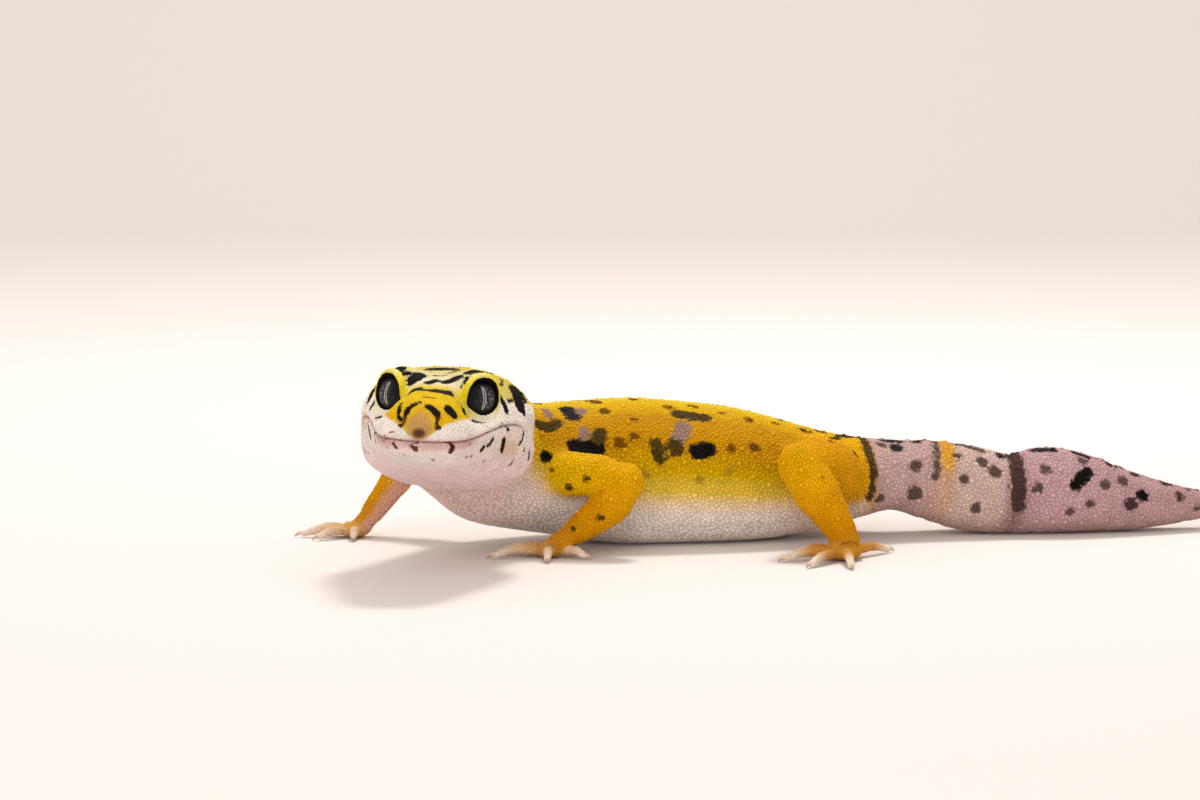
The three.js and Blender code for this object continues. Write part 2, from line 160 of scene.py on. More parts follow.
# x, y, z of the axis, half width, reach above and below it, squareness below
BODY_STATIONS = np.array([
    [-15.0, 18.9, 13.9, 7.2, 6.4, 8.7, 2.1],  # neck and shoulders
    [-12.7, 22.6, 11.4, 7.7, 7.2, 8.4, 2.1],
    [-8.6, 25.9, 9.9, 8.6, 7.5, 8.1, 2.1],
    [-3.4, 28.4, 9.3, 9.3, 8.1, 8.6, 2.1],
    [2.6, 30.1, 8.9, 9.8, 8.7, 9.1, 2.4],  # ribs and belly
    [8.8, 31.4, 8.6, 10.2, 8.5, 8.85, 2.5],
    [15.0, 32.3, 8.1, 9.9, 8.2, 8.35, 2.5],
    [20.8, 33.0, 7.6, 9.0, 7.3, 7.6, 2.4],
    [26.2, 33.6, 7.4, 7.9, 6.0, 6.4, 2.2],  # hips and root of the tail
    [31.3, 34.2, 7.5, 6.5, 4.9, 5.3, 2.1],
    [36.0, 34.9, 7.5, 5.0, 4.4, 4.4, 2.1],
    [40.6, 35.6, 6.9, 4.7, 4.9, 5.1, 2.1],
    [45.5, 36.4, 5.9, 4.9, 5.1, 5.6, 2.1],  # the fat tail and its end
    [50.5, 37.0, 4.9, 4.9, 5.0, 5.1, 2.1],
    [55.5, 37.5, 5.1, 5.3, 5.6, 5.25, 2.1],
    [60.5, 38.0, 4.7, 5.0, 4.9, 4.8, 2.1],
    [65.5, 38.5, 3.9, 4.0, 3.8, 3.9, 2.1],
    [70.5, 39.2, 3.4, 2.9, 2.7, 2.9, 2.1],
    [75.5, 40.3, 3.1, 1.95, 1.8, 1.9, 2.1],
    [80.5, 42.0, 2.9, 1.3, 1.2, 1.3, 2.1],
    [85.5, 44.4, 2.8, 0.85, 0.8, 0.85, 2.1],
    [89.5, 46.9, 2.9, 0.6, 0.6, 0.6, 2.1],
])
HEAD_COUNT = len(HEAD_STATIONS)
LAST = HEAD_COUNT + len(BODY_STATIONS) - 1
AXIS = np.vstack([
    from_head([[ahead, 0.0, -HEAD_AXIS_DROP] for ahead in HEAD_STATIONS[:, 0]]),
    BODY_STATIONS[:, :3],
])
# width, reach above and reach below the axis
SIZE = np.vstack([
    HEAD_STATIONS[:, 1:4] * [1, 1, -1] + [0, HEAD_AXIS_DROP, -HEAD_AXIS_DROP],
    BODY_STATIONS[:, 3:6],
])
# level of the widest point over the axis, squareness above and below, roll
FORM = np.vstack([
    np.column_stack([HEAD_STATIONS[:, 4:] + [HEAD_AXIS_DROP, 0, 0], np.full(HEAD_COUNT, HEAD_ROLL)]),
    np.column_stack([-0.1 * BODY_STATIONS[:, 4], np.full(LAST + 1 - HEAD_COUNT, 2.0),
                     BODY_STATIONS[:, 6], np.zeros(LAST + 1 - HEAD_COUNT)]),
])


print("stations:", LAST + 1, "length along the axis in mm:",
      np.linalg.norm(np.diff(AXIS, axis=0), axis=1).sum().round(1))

# %% The body's outline at any station
def body_frame(at):
    """Centre, left, up and direction of the body at stations. Left is direction x up."""
    centre = smooth_line(AXIS, at)
    along = direction_along(AXIS, at)
    up = unit(Z - along[..., 2:] * along)
    roll = smooth_line(FORM, at)[..., 3:]
    up = up * np.cos(roll) + np.cross(along, up) * np.sin(roll)
    return centre, np.cross(along, up), up, along


def rounding(distance, length):
    """The share of full size where an end rounds off as an ellipse."""
    rest = 1 - np.clip(distance / length, 0, 1)
    return np.sqrt(1 - rest**2)


def outline_sizes(at, turn_up):
    """Half width, reach and squareness of the half (upper or lower) that a turn is in."""
    size, form = smooth_line(SIZE, at), smooth_line(FORM, at)
    shrink = rounding(at * HEAD_STEP, SNOUT_ROUND) * rounding(LAST - at, TAIL_ROUND)
    reach = np.where(turn_up, size[..., 1] - form[..., 0], size[..., 2] + form[..., 0])
    square = np.where(turn_up, form[..., 1], form[..., 2])
    return size[..., 0], reach, square, form[..., 0], shrink


def snout_drop(at):
    """How far the rings sink at the rounded tip of the snout, towards its foremost point."""
    return SNOUT_DROP * (1 - rounding(at * HEAD_STEP, SNOUT_ROUND))


def body_surface(at, turn, inset=0.0):
    """A point of the body: centre + left * width * cos(turn)^(2/n) + up * reach * sin(turn)^(2/n),
    a superellipse of squareness n. Turn 0 is the animal's left side, a quarter turn its back."""
    at, turn = np.broadcast_arrays(np.asarray(at, float), np.asarray(turn, float))
    centre, left, up, _ = body_frame(at)
    width, reach, square, level, shrink = outline_sizes(at, np.sin(turn) >= 0)
    power = 2 / square
    across = np.sign(np.cos(turn)) * np.abs(np.cos(turn)) ** power * (width - inset) * shrink
    height = np.sign(np.sin(turn)) * np.abs(np.sin(turn)) ** power * (reach - inset) * shrink
    height += level + snout_drop(at)
    return centre + left * across[..., None] + up * height[..., None]


# the solids' own frame is this one moved so that the left eye's centre agrees
EYE_SIDE, EYE_BACK, EYE_RADIUS = 3.85, 0.3, 3.05
eye_box = np.array([list(corner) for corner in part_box("eye_left")]) * 1000
SHIFT = from_head([-EYE_BACK, EYE_SIDE, 0.0]) - eye_box.mean(axis=0)
SIDES = {"left": 1, "right": -1}
print("shift between the two frames in mm:", SHIFT.round(3))

# %% [markdown]
# ## Sculpting the head and the folds
# The solids hold the main form. A face is read from small relief: the line between the lips, the
# ridge from eye to nostril, the ear opening, and the skin that bunches where the neck bends. A
# sculptor would brush these on. Here each is a bell-shaped rise or dent, a function of the place
# on the head, which moves the skin along its own normal by fractions of a millimetre.

# %% Where the mouth runs
# ahead of the eyes, above the eyes: the line rises under the eye and turns down at the corner
MOUTH_LINE = np.array([[12.0, -3.97], [9.0, -3.79], [6.0, -3.45], [3.0, -3.04], [0.0, -2.74],
                       [-3.0, -3.0], [-6.0, -4.5]])
MOUTH_CORNER = -3.3


def mouth_level(ahead):
    """The smooth line through the mouth's stations, at a distance ahead of the eyes."""
    place = (MOUTH_LINE[0, 0] - np.asarray(ahead, float)) / HEAD_STEP
    return smooth_line(MOUTH_LINE, place)[..., 1]


def mouth_turn(at):
    """The turn at which the body's outline crosses the mouth's level, faded out behind it."""
    ahead = np.interp(at, np.arange(HEAD_COUNT), HEAD_STATIONS[:, 0])
    level = mouth_level(np.maximum(ahead, MOUTH_CORNER)) + HEAD_AXIS_DROP
    _, _, _, widest, _ = outline_sizes(at, True)
    height = level - widest - snout_drop(at)
    _, reach, square, _, shrink = outline_sizes(at, height >= 0)
    share = np.clip(np.abs(height) / np.maximum(reach * shrink, 1e-6), 0, 0.8)
    return np.sign(height) * np.arcsin(share ** (square / 2)) * (1 - smooth_step(5.5, 8.5, at))


print("mouth at the snout turns", np.degrees(mouth_turn(np.array([1.0, 3.0, 5.0]))).round(1), "degrees")

# %% The relief of the skin
LID_AXIS_TURN, LID_AXIS_LIFT = np.radians([37.0, 8.0])


def eye_frame(side):
    """Centre of an eye, its axis, and in the plane across the axis the way back and the way up."""
    centre = from_head([-EYE_BACK, side * EYE_SIDE, 0.0])
    axis = unit(np.array([math.cos(LID_AXIS_TURN), side * math.sin(LID_AXIS_TURN),
                          math.tan(LID_AXIS_LIFT)]) @ HEAD_AXES)
    up = unit(HEAD_AXES[2] - axis * (HEAD_AXES[2] @ axis))
    back = np.cross(up, axis) * side
    if back @ HEAD_AXES[0] > 0:
        back = -back
    return centre, axis, back, up


def opening_radius(turn):
    """Half the eye's opening, from its axis, with the corners in front and behind drawn out."""
    def near(centre, width):
        """A bell over the directions, in degrees."""
        gap = (turn - math.radians(centre) + math.pi) % (2 * math.pi) - math.pi
        return np.exp(-((gap / math.radians(width)) ** 2))
    return 1.86 + 0.24 * near(199, 17) + 0.22 * near(42, 18) + 0.17 * near(55, 60)


NOSTRIL = (10.9, 2.15, -1.9)
EAR = (-11.3, 8.9, -4.4)


def head_relief(place):
    """How far the skin stands out, in mm, for places (ahead, left, above) on the head."""
    ahead, left, above = place[..., 0], np.abs(place[..., 1]), place[..., 2]
    on_head = smooth_step(-15.0, -12.0, ahead)
    lip = above - mouth_level(ahead)
    mouth = smooth_step(-6.2, -3.0, ahead)
    rims = 0.10 * bump(lip, 0.50, 0.32) + 0.09 * bump(lip, -0.45, 0.28)
    relief = mouth * (rims - 0.30 * bump(lip, 0, 0.13))
    # the cheek overhangs the jaw behind the corner of the mouth
    relief += 0.22 * bump(ahead, -7.5, 2.6) * bump(above, -1.8, 1.2)
    relief -= 0.26 * bump(ahead, -10.2, 1.4) * bump(above, -4.9, 0.5)
    relief += 0.25 * bump(ahead, -8.6, 2.6) * bump(above, -7.2, 1.6) * smooth_step(3, 7, left)
    # nostril: a pit with a raised rim
    to_nostril = np.linalg.norm(np.stack([ahead, left, above], axis=-1) - NOSTRIL, axis=-1)
    relief += 0.10 * bump(to_nostril, 0.62, 0.22) - 0.42 * bump(to_nostril, 0, 0.34)
    # the ridge from eye to nostril and the hollow under it
    ridge = left - (2.6 + 0.28 * (9.0 - ahead))
    on_snout = smooth_step(2.2, 4.0, ahead) * (1 - smooth_step(9.0, 11.0, ahead))
    relief += on_snout * (0.16 * bump(ridge, 0, 0.8) * smooth_step(-2.5, -1.0, above))
    relief -= 0.14 * bump(left, 0, 1.3) * bump(ahead, 4.5, 3.0) * smooth_step(0.0, 1.0, above)
    relief -= 0.18 * bump(left, 0, 1.6) * bump(ahead, -1.5, 2.5) * smooth_step(1.0, 2.0, above)
    # the ear opening
    in_ear = ((ahead - EAR[0]) / 0.75) ** 2 + ((above - EAR[2]) / 1.15) ** 2
    relief -= 1.25 * np.exp(-(in_ear**1.5)) * smooth_step(6, 8, left)
    relief += 0.16 * np.exp(-((np.sqrt(in_ear) - 1.5) / 0.4) ** 2) * smooth_step(6, 8, left)
    # soft folds across the throat
    under = smooth_step(-6.0, -8.5, above)
    fold_line = ahead + 0.03 * left**2
    for fold, depth in ((-2.6, 0.05), (-5.4, 0.07), (-8.0, 0.05)):
        relief -= depth * bump(fold_line, fold, 0.45) * under
    return relief * on_head


def body_relief(at, turn):
    """Folds of the neck, a crease along the flank, and the rings of the tail, in mm."""
    to_left = np.cos(turn)
    inner = smooth_step(0.15, 0.8, to_left)
    neck = sum(bump(at, station, 0.13) for station in (9.2, 9.75, 10.35, 10.95))
    relief = -0.16 * neck * inner * smooth_step(-0.9, -0.2, np.sin(turn))
    throat = smooth_step(-0.2, -0.9, np.sin(turn))
    relief -= 0.09 * throat * sum(bump(at, station, 0.12) for station in (9.95, 10.6))
    # the throat hangs full under the jaw
    relief += 0.70 * throat * bump(at, 10.1, 0.6)
    flank = bump(np.sin(turn), -0.62, 0.10) * bump(at, 15.2, 2.3)
    relief -= 0.16 * flank
    ribs = smooth_step(12.2, 13.2, at) * (1 - smooth_step(16.6, 17.8, at))
    relief += 0.05 * ribs * np.cos(2 * math.pi * at / 0.42) * bump(np.sin(turn), 0.0, 0.55)
    on_tail = smooth_step(20.0, 21.0, at) * (1 - smooth_step(29.5, 30.6, at))
    ring = np.abs((at / 0.5) % 1.0 - 0.5) * 2
    relief -= 0.13 * on_tail * smooth_step(0.72, 1.0, ring)
    return relief


print("the ear is", -head_relief(np.array(EAR)).round(2), "mm deep")

# %% [markdown]
# ## The pieces of the skin
# The trunk, the legs and the toes could be shaped from one block. It is simpler to make each of
# them as a closed surface of its own, to join them into one, and to smooth only the creases
# where they meet, as muscle and skin do. Each surface is a grid: one direction runs along the
# part and the other round it, and both ends are drawn together into a point.

# %% Building meshes from grids
SKIN_DEPTH = 0.12  # the skin lies this far inside the solids, and the scales fill the rest


def capped_grid(points):
    """Vertices and faces of a grid (rows along, columns round) whose end rows become points."""
    rows, columns = points.shape[0] - 2, points.shape[1]
    vertices = np.vstack([points[:1].mean(axis=1), points[1:-1].reshape(-1, 3), points[-1:].mean(axis=1)])
    index = 1 + np.arange(rows * columns).reshape(rows, columns)
    turned = np.roll(index, -1, axis=1)
    quads = np.stack([index[:-1], index[1:], turned[1:], turned[:-1]], axis=-1).reshape(-1, 4)
    first = np.stack([np.zeros(columns, int), index[0], turned[0]], axis=-1)
    last = np.stack([np.full(columns, len(vertices) - 1), turned[-1], index[-1]], axis=-1)
    return vertices, quads, np.vstack([first, last])


def in_metres(points):
    """Points in mm of the body's frame, as metres of the solids' frame."""
    return (np.asarray(points, float) - SHIFT) / 1000


def place_vertices(mesh, points):
    """Moves a mesh's vertices to points in mm in the body's frame."""
    mesh.vertices.foreach_set("co", in_metres(points).astype(np.float32).ravel())
    mesh.update()


def new_object(name, vertices, quads, triangles):
    """A mesh object from points in mm in the body's frame, moved into the solids' frame. Its
    faces are turned outward, which its signed volume tells."""
    fans = np.vstack([quads[:, [0, 1, 2]], quads[:, [0, 2, 3]], triangles])
    a, b, c = (vertices[fans[:, k]] for k in range(3))
    if np.einsum("ij,ij->i", a, np.cross(b, c)).sum() < 0:
        quads, triangles = quads[:, ::-1], triangles[:, ::-1]
    mesh = bpy.data.meshes.new(name)
    mesh.vertices.add(len(vertices))
    mesh.vertices.foreach_set("co", in_metres(vertices).astype(np.float32).ravel())
    corners = np.concatenate([quads.ravel(), triangles.ravel()]).astype(np.int32)
    mesh.loops.add(len(corners))
    mesh.loops.foreach_set("vertex_index", corners)
    starts = np.concatenate([4 * np.arange(len(quads)), quads.size + 3 * np.arange(len(triangles))])
    mesh.polygons.add(len(starts))
    mesh.polygons.foreach_set("loop_start", starts.astype(np.int32))
    mesh.update(calc_edges=True)
    mesh.shade_smooth()
    thing = bpy.data.objects.new(name, mesh)
    bpy.context.scene.collection.objects.link(thing)
    return thing


def read_all(items, field, width, kind=np.float32):
    """One field of every vertex, edge, corner or triangle of a mesh, as rows of an array."""
    flat = np.empty(len(items) * width, kind)
    items.foreach_get(field, flat)
    return flat.reshape(-1, width)


def points_of(mesh):
    """The vertices of a mesh, in mm in the body's frame."""
    return read_all(mesh.vertices, "co", 3).astype(float) * 1000 + SHIFT


def normals_of(mesh):
    """The unit normals of a mesh's vertices."""
    return read_all(mesh.vertex_normals, "vector", 3).astype(float)


def store(mesh, name, kind, field, values):
    """Keeps an array as an attribute of a mesh's vertices."""
    layer = mesh.attributes.new(name, kind, "POINT")
    layer.data.foreach_set(field, values.astype(np.float32).ravel())


def normals_of_grid(points):
    """Unit normals of a grid that wraps round its columns, from the steps to its neighbours."""
    along = np.gradient(points, axis=0)
    around = np.roll(points, -1, axis=1) - np.roll(points, 1, axis=1)
    normal = np.cross(around, along)
    length = np.linalg.norm(normal, axis=-1, keepdims=True)
    return normal / np.maximum(length, 1e-9)


print("vertices, quads and triangles of 4 rows of 8:", *map(len, capped_grid(np.zeros((4, 8, 3)))))

# %% [markdown]
# ## Joining, cutting and smoothing
# Parts that run into each other are joined as solids, so the skin stays one closed surface. The
# edge that a join leaves is then drawn smooth, as real skin stretches across it.

# %% Tools for joined surfaces
def ball(centre, radii, rows=40, columns=64):
    """An ellipsoid on a grid of latitude and longitude, its poles above and below."""
    height = np.linspace(-math.pi / 2, math.pi / 2, rows)[:, None]
    turn = full_turn(columns)[None, :]
    shape = np.stack([np.cos(height) * np.cos(turn), np.cos(height) * np.sin(turn),
                      np.sin(height) + 0 * turn], axis=-1)
    return np.asarray(centre) + shape * radii


def combine(target, tools, operation):
    """Joins tools to the target, or cuts them from it, and removes them."""
    tray = bpy.data.collections.new("tray")
    for tool in tools:
        tray.objects.link(tool)
    step = target.modifiers.new(operation, "BOOLEAN")
    step.operation = operation
    step.solver = "MANIFOLD"
    step.operand_type = "COLLECTION"
    step.collection = tray
    view = bpy.context.evaluated_depsgraph_get()
    made = bpy.data.meshes.new_from_object(target.evaluated_get(view))
    target.modifiers.clear()
    old, target.data = target.data, made
    bpy.data.meshes.remove(old)
    for tool in tools:
        bpy.data.meshes.remove(tool.data)
    bpy.data.collections.remove(tray)


AXIS_STEP = 0.04  # stations between the samples of the axis
AXIS_STEPS = np.arange(0.0, LAST + 1e-9, AXIS_STEP)


def on_body(points):
    """The station and the turn of points, and their distance outside the body's outline, in mm.
    The nearest sample of the axis gives the station. A superellipse scaled until it passes
    through the point gives the distance."""
    centre, left, up, along = body_frame(AXIS_STEPS)
    nearest = np.concatenate([
        np.argmin(((part[:, None] - centre) ** 2).sum(axis=2), axis=1)
        for part in np.array_split(points, max(1, len(points) // 4000))])
    offset = points - centre[nearest]
    step = np.linalg.norm(np.gradient(centre, axis=0), axis=1)[nearest]
    beyond = np.einsum("ij,ij->i", offset, along[nearest]) / step
    at = np.clip(AXIS_STEPS[nearest] + AXIS_STEP * np.clip(beyond, -0.5, 0.5), 0, LAST)
    across = np.einsum("ij,ij->i", offset, left[nearest])
    height = np.einsum("ij,ij->i", offset, up[nearest])
    _, _, _, level, _ = outline_sizes(at, True)
    height = height - level - snout_drop(at)
    width, reach, square, _, shrink = outline_sizes(at, height >= 0)
    a = (np.abs(across) / (width * shrink + 1e-9)) ** (square / 2)
    b = (np.abs(height) / (reach * shrink + 1e-9)) ** (square / 2)
    turn = np.arctan2(np.sign(height) * b, np.sign(across) * a)
    scale = np.hypot(a, b) ** (2 / square)
    return at, turn, np.hypot(across, height) * (1 - 1 / np.maximum(scale, 1e-9))


def relax(mesh, weights, rounds, share=0.6):
    """Moves vertices towards the middle of their neighbours, by the share of their weight."""
    points = points_of(mesh)
    a, b = read_all(mesh.edges, "vertices", 2, np.int32).T
    moving = (weights[a] > 0.001) | (weights[b] > 0.001)
    a, b = np.concatenate([a[moving], b[moving]]), np.concatenate([b[moving], a[moving]])
    count = np.maximum(np.bincount(a, minlength=len(points)), 1)
    pull = (share * weights)[:, None]
    for _ in range(rounds):
        middle = np.stack([np.bincount(a, points[b, k], minlength=len(points)) for k in range(3)], axis=1)
        points += pull * np.where(weights[:, None] > 0.001, middle / count[:, None] - points, 0)
    return points


print("samples of the axis:", len(AXIS_STEPS))

# %% [markdown]
# ## Head, trunk and tail
# The columns of the grid follow the mouth: a lip line that crosses a grid at a slant looks torn,
# so the columns are turned until one of them lies on the line, and are packed closer beside it.

# %% Head, trunk and tail
COLUMNS = 168
HEAD_ROWS_END = 9.0  # the station behind which the rows lie farther apart
HEAD_ROW_GAP = 0.225  # mm
NECK_ROW_GAP, BODY_ROW_GAP = 0.08, 0.155  # stations
ORBIT = EYE_RADIUS + 0.3  # the skin's distance from an eyeball's centre


def body_rows():
    """Stations of the grid's rows: finest round the snout's tip, fine on the head."""
    tip = SNOUT_ROUND / HEAD_STEP * (1 - np.sqrt(1 - np.linspace(0, 1, 32) ** 2))
    head = np.arange(tip[-1], HEAD_ROWS_END, HEAD_ROW_GAP / HEAD_STEP)[1:]
    steps = np.concatenate([np.full(30, NECK_ROW_GAP), np.full(400, BODY_ROW_GAP)])
    body = HEAD_ROWS_END + np.cumsum(steps)
    body = body[body < LAST - TAIL_ROUND]
    end = LAST - TAIL_ROUND * (1 - np.sin(np.linspace(0, 1, 7) * math.pi / 2))
    return np.concatenate([tip, head, body, end])


def body_grid():
    """The body's surface with the columns drawn to the mouth, then moved along its normals."""
    rows = body_rows()[:, None]
    even = full_turn(COLUMNS)[None, :]
    on_head = 1 - smooth_step(7.5, 10.5, rows)
    turn = even - 0.36 * on_head * np.sin(2 * even) + mouth_turn(rows[:, 0])[:, None] * np.cos(even)
    points = body_surface(rows, turn, SKIN_DEPTH)
    normal = normals_of_grid(points)
    outward = points - body_frame(np.broadcast_to(rows, turn.shape))[0]
    normal *= np.sign(np.einsum("ijk,ijk->ij", normal, outward))[..., None]
    return points + normal * body_relief(np.broadcast_to(rows, turn.shape), turn)[..., None]


body = new_object("skin", *capped_grid(body_grid()))
print("head, trunk and tail:", len(body.data.polygons), "faces")

# %% [markdown]
# ## Orbits
# The eyes look forward over a hollow between the ridge of the snout and the lip, and the skin
# bulges over the back of each eyeball. The hollow is an ellipsoid cut from the head, and the
# bulge is a ball joined to it. Then both edges are smoothed away.

# %% Hollows and orbits
HOLLOW_AT = np.array([4.6, 6.8, 1.1])  # ahead, to the side, above
HOLLOW_RADII = np.array([4.9, 4.0, 3.75])
HOLLOW_TOE_IN = math.radians(13)


def hollow_axes(side):
    """The hollow's long axis, turned in towards the snout, its side axis and its upright axis."""
    ahead = HEAD_AXES[0] * math.cos(HOLLOW_TOE_IN) - HEAD_AXES[1] * side * math.sin(HOLLOW_TOE_IN)
    return np.array([ahead, np.cross(HEAD_AXES[2], ahead), HEAD_AXES[2]])


def hollow_grid(side):
    """The hollow's ellipsoid, a little larger than the solids' so that the skin lies inside."""
    shape = ball([0, 0, 0], HOLLOW_RADII + SKIN_DEPTH, 48, 72)
    return from_head(HOLLOW_AT * [1, side, 1]) + shape @ hollow_axes(side)


def beside_hollow(points, side):
    """Distance outside a hollow in mm, to first order."""
    place = (points - from_head(HOLLOW_AT * [1, side, 1])) @ hollow_axes(side).T
    scaled = place / (HOLLOW_RADII + SKIN_DEPTH)
    size = np.linalg.norm(scaled, axis=1)
    return size * (size - 1) / np.linalg.norm(scaled / (HOLLOW_RADII + SKIN_DEPTH), axis=1)


def orbit_creases(points):
    """1 on the edges between head, hollows and orbits, falling to 0 over a millimetre or so."""
    shapes = [on_body(points)[2] + SKIN_DEPTH]
    shapes += [beside_hollow(points, side) for side in SIDES.values()]
    shapes += [np.linalg.norm(points - eye_frame(side)[0], axis=1) - ORBIT for side in SIDES.values()]
    closest = np.sort(np.abs(shapes), axis=0)[1]
    place = to_head(points)
    on_lips = bump(place[:, 2] - mouth_level(place[:, 0]), 0, 0.27) * smooth_step(-7.0, -5.0, place[:, 0])
    return (1 - smooth_step(0.2, 1.6, closest)) * smooth_step(-9.0, -7.0, place[:, 0]) * (1 - on_lips)


def throat_bend(points):
    """1 on the inner side of the neck's bend, where the rows of the grid crowd together."""
    at, turn, _ = on_body(points)
    under = smooth_step(0.1, -0.4, np.sin(turn))
    return under * smooth_step(7.4, 8.2, at) * (1 - smooth_step(10.0, 11.0, at))


hollows = [new_object("hollow", *capped_grid(hollow_grid(side))) for side in SIDES.values()]
combine(body, hollows, "DIFFERENCE")
orbits = [new_object("orbit", *capped_grid(ball(eye_frame(side)[0], ORBIT, 48, 72)))
          for side in SIDES.values()]
combine(body, orbits, "UNION")
place_vertices(body.data, relax(body.data, orbit_creases(points_of(body.data)), rounds=70))
head_points = points_of(body.data)
head_points += head_relief(to_head(head_points))[:, None] * normals_of(body.data)
place_vertices(body.data, head_points)
place_vertices(body.data, relax(body.data, throat_bend(head_points), rounds=240))
print("head with orbits:", len(body.data.polygons), "faces")

# %% [markdown]
# ## Eyelids
# A gecko of this kind has real eyelids: a thick upper lid that stands out over the eye like an
# awning, a thin lower one, and a drawn-out corner in front. The opening could be modelled vertex
# by vertex. Here it is a line round the eyeball, given by its distance from the eye's axis, and
# the lid is a rounded band carried along that line, thick above and thin below.

# %% Eye openings and lids
def towards(turn, centre, width):
    """A bell over the directions round the eye, in degrees: 0 back, 90 up, 180 front."""
    gap = (np.degrees(turn) - centre + 180) % 360 - 180
    return np.exp(-((gap / width) ** 2))


def lid_sizes(turn):
    """Half width and height of the lid's band in each direction round the eye."""
    upper = towards(turn, 100, 62)
    front = towards(turn, 185, 34)
    half_width = 0.22 + 0.19 * upper + 0.10 * front
    height = 0.22 + 0.46 * upper + 0.12 * front
    return half_width, height


def on_ball(side, turn, from_axis, lift):
    """A point over the eyeball at an arc's length from the eye's axis, in a direction, lifted."""
    centre, axis, back, up = eye_frame(side)
    angle = np.asarray(from_axis) / EYE_RADIUS
    out = np.cos(turn)[..., None] * back + np.sin(turn)[..., None] * up
    ray = np.cos(angle)[..., None] * axis + np.sin(angle)[..., None] * out
    return centre + ray * (EYE_RADIUS + np.asarray(lift))[..., None]


def lid_band(side, around=120, section=28):
    """A closed band round the opening. Its section is a rounded box that lies on the eyeball."""
    turn = full_turn(around)[:, None]
    angle = full_turn(section)[None, :]
    half_width, height = lid_sizes(turn)
    wide = np.sign(np.cos(angle)) * np.abs(np.cos(angle)) ** 0.75
    high = np.sign(np.sin(angle)) * np.abs(np.sin(angle)) ** 0.85
    from_axis = opening_radius(turn) + half_width * (1 + wide)
    lift = 0.30 * height + high * height * (1 - 0.25 * wide)
    points = on_ball(side, turn + 0 * angle, from_axis, np.where(high < 0, high * 0.25, lift))
    index = np.arange(around * section).reshape(around, section)
    right, down = np.roll(index, -1, axis=1), np.roll(index, -1, axis=0)
    quads = np.stack([index, down, np.roll(down, -1, axis=1), right], axis=-1).reshape(-1, 4)
    return points.reshape(-1, 3), quads, np.zeros((0, 3), int)


def opening_plug(side, around=120):
    """The space in the opening: it runs from inside the ball outward, just wider than the eye."""
    turn = full_turn(around)[None, :]
    lift = np.array([-1.2, -1.2, -0.4, 0.0, 0.5, 1.2, 2.5, 2.5])[:, None]
    share = np.array([0.0, 1.0, 1.0, 1.0, 1.0, 1.0, 1.0, 0.0])[:, None]
    reach = (opening_radius(turn) + 0.55 * lid_sizes(turn)[0]) * share
    return capped_grid(on_ball(side, turn + 0 * lift, reach, lift + 0 * turn))


sockets = [new_object("socket", *capped_grid(ball(eye_frame(side)[0], EYE_RADIUS + 0.03)))
           for side in SIDES.values()]
plugs = [new_object("plug", *opening_plug(side)) for side in SIDES.values()]
combine(body, sockets + plugs, "DIFFERENCE")
lids = [new_object("lid", *lid_band(side)) for side in SIDES.values()]
combine(body, lids, "UNION")
print("head with eye sockets and lids:", len(body.data.polygons), "faces")

# %% [markdown]
# ## Legs, feet and toes
# Each leg is two tapered limbs that meet at the elbow or knee, a wrist, a pad on the floor and
# five toes with swollen joints. They follow the same joints and radii as the solids.

# %% Legs
LEGS = {
    "fore_left": {
        "upper": [[-8.6, 21.6, 9.0, 3.0], [-3.4, 18.7, 9.6, 2.8], [3.0, 16.9, 9.2, 2.5]],
        "lower": [[3.5, 16.7, 8.8, 2.55], [0.2, 16.2, 5.4, 2.4], [-4.2, 16.3, 2.2, 1.7]],
        "pad": [-6.0, 16.4, 2.1, 1.1],
        "toes": [[132, 4.6], [165, 6.2], [196, 7.0], [268, 5.2], [330, 5.2]],
    },
    "fore_right": {
        "upper": [[-15.6, 27.6, 10.2, 3.0], [-18.6, 31.6, 10.4, 2.6], [-22.8, 34.0, 10.2, 2.2]],
        "lower": [[-23.2, 34.0, 9.9, 2.2], [-25.9, 33.6, 6.0, 1.95], [-28.9, 33.0, 2.0, 1.6]],
        "pad": [-30.0, 32.6, 2.0, 1.1],
        "toes": [[268, 3.9], [214, 5.6], [182, 7.0], [152, 6.6], [112, 4.8]],
    },
    "hind_left": {
        "upper": [[29.4, 28.0, 8.0, 4.0], [26.8, 22.4, 9.8, 3.7], [23.4, 17.9, 11.0, 3.1]],
        "lower": [[23.6, 17.2, 10.6, 3.1], [26.6, 15.6, 6.3, 2.65], [29.2, 14.4, 2.1, 1.9]],
        "pad": [28.8, 14.2, 2.5, 1.2],
        "toes": [[150, 6.2], [196, 7.6], [236, 8.2], [272, 8.0], [44, 8.2]],
    },
    "hind_right": {
        "upper": [[28.6, 39.6, 7.4, 3.9], [25.2, 45.0, 8.0, 3.5], [21.8, 49.4, 8.0, 2.9]],
        "lower": [[21.6, 49.8, 7.8, 2.9], [22.6, 52.4, 5.0, 2.45], [24.2, 54.6, 2.2, 1.75]],
        "pad": [24.0, 55.0, 2.5, 1.2],
        "toes": [[212, 5.8], [170, 7.2], [132, 8.0], [96, 8.0], [18, 7.0]],
    },
}
TOE_RADIUS, TOE_ARCH, TOE_TIP = 0.55, 1.1, 0.38


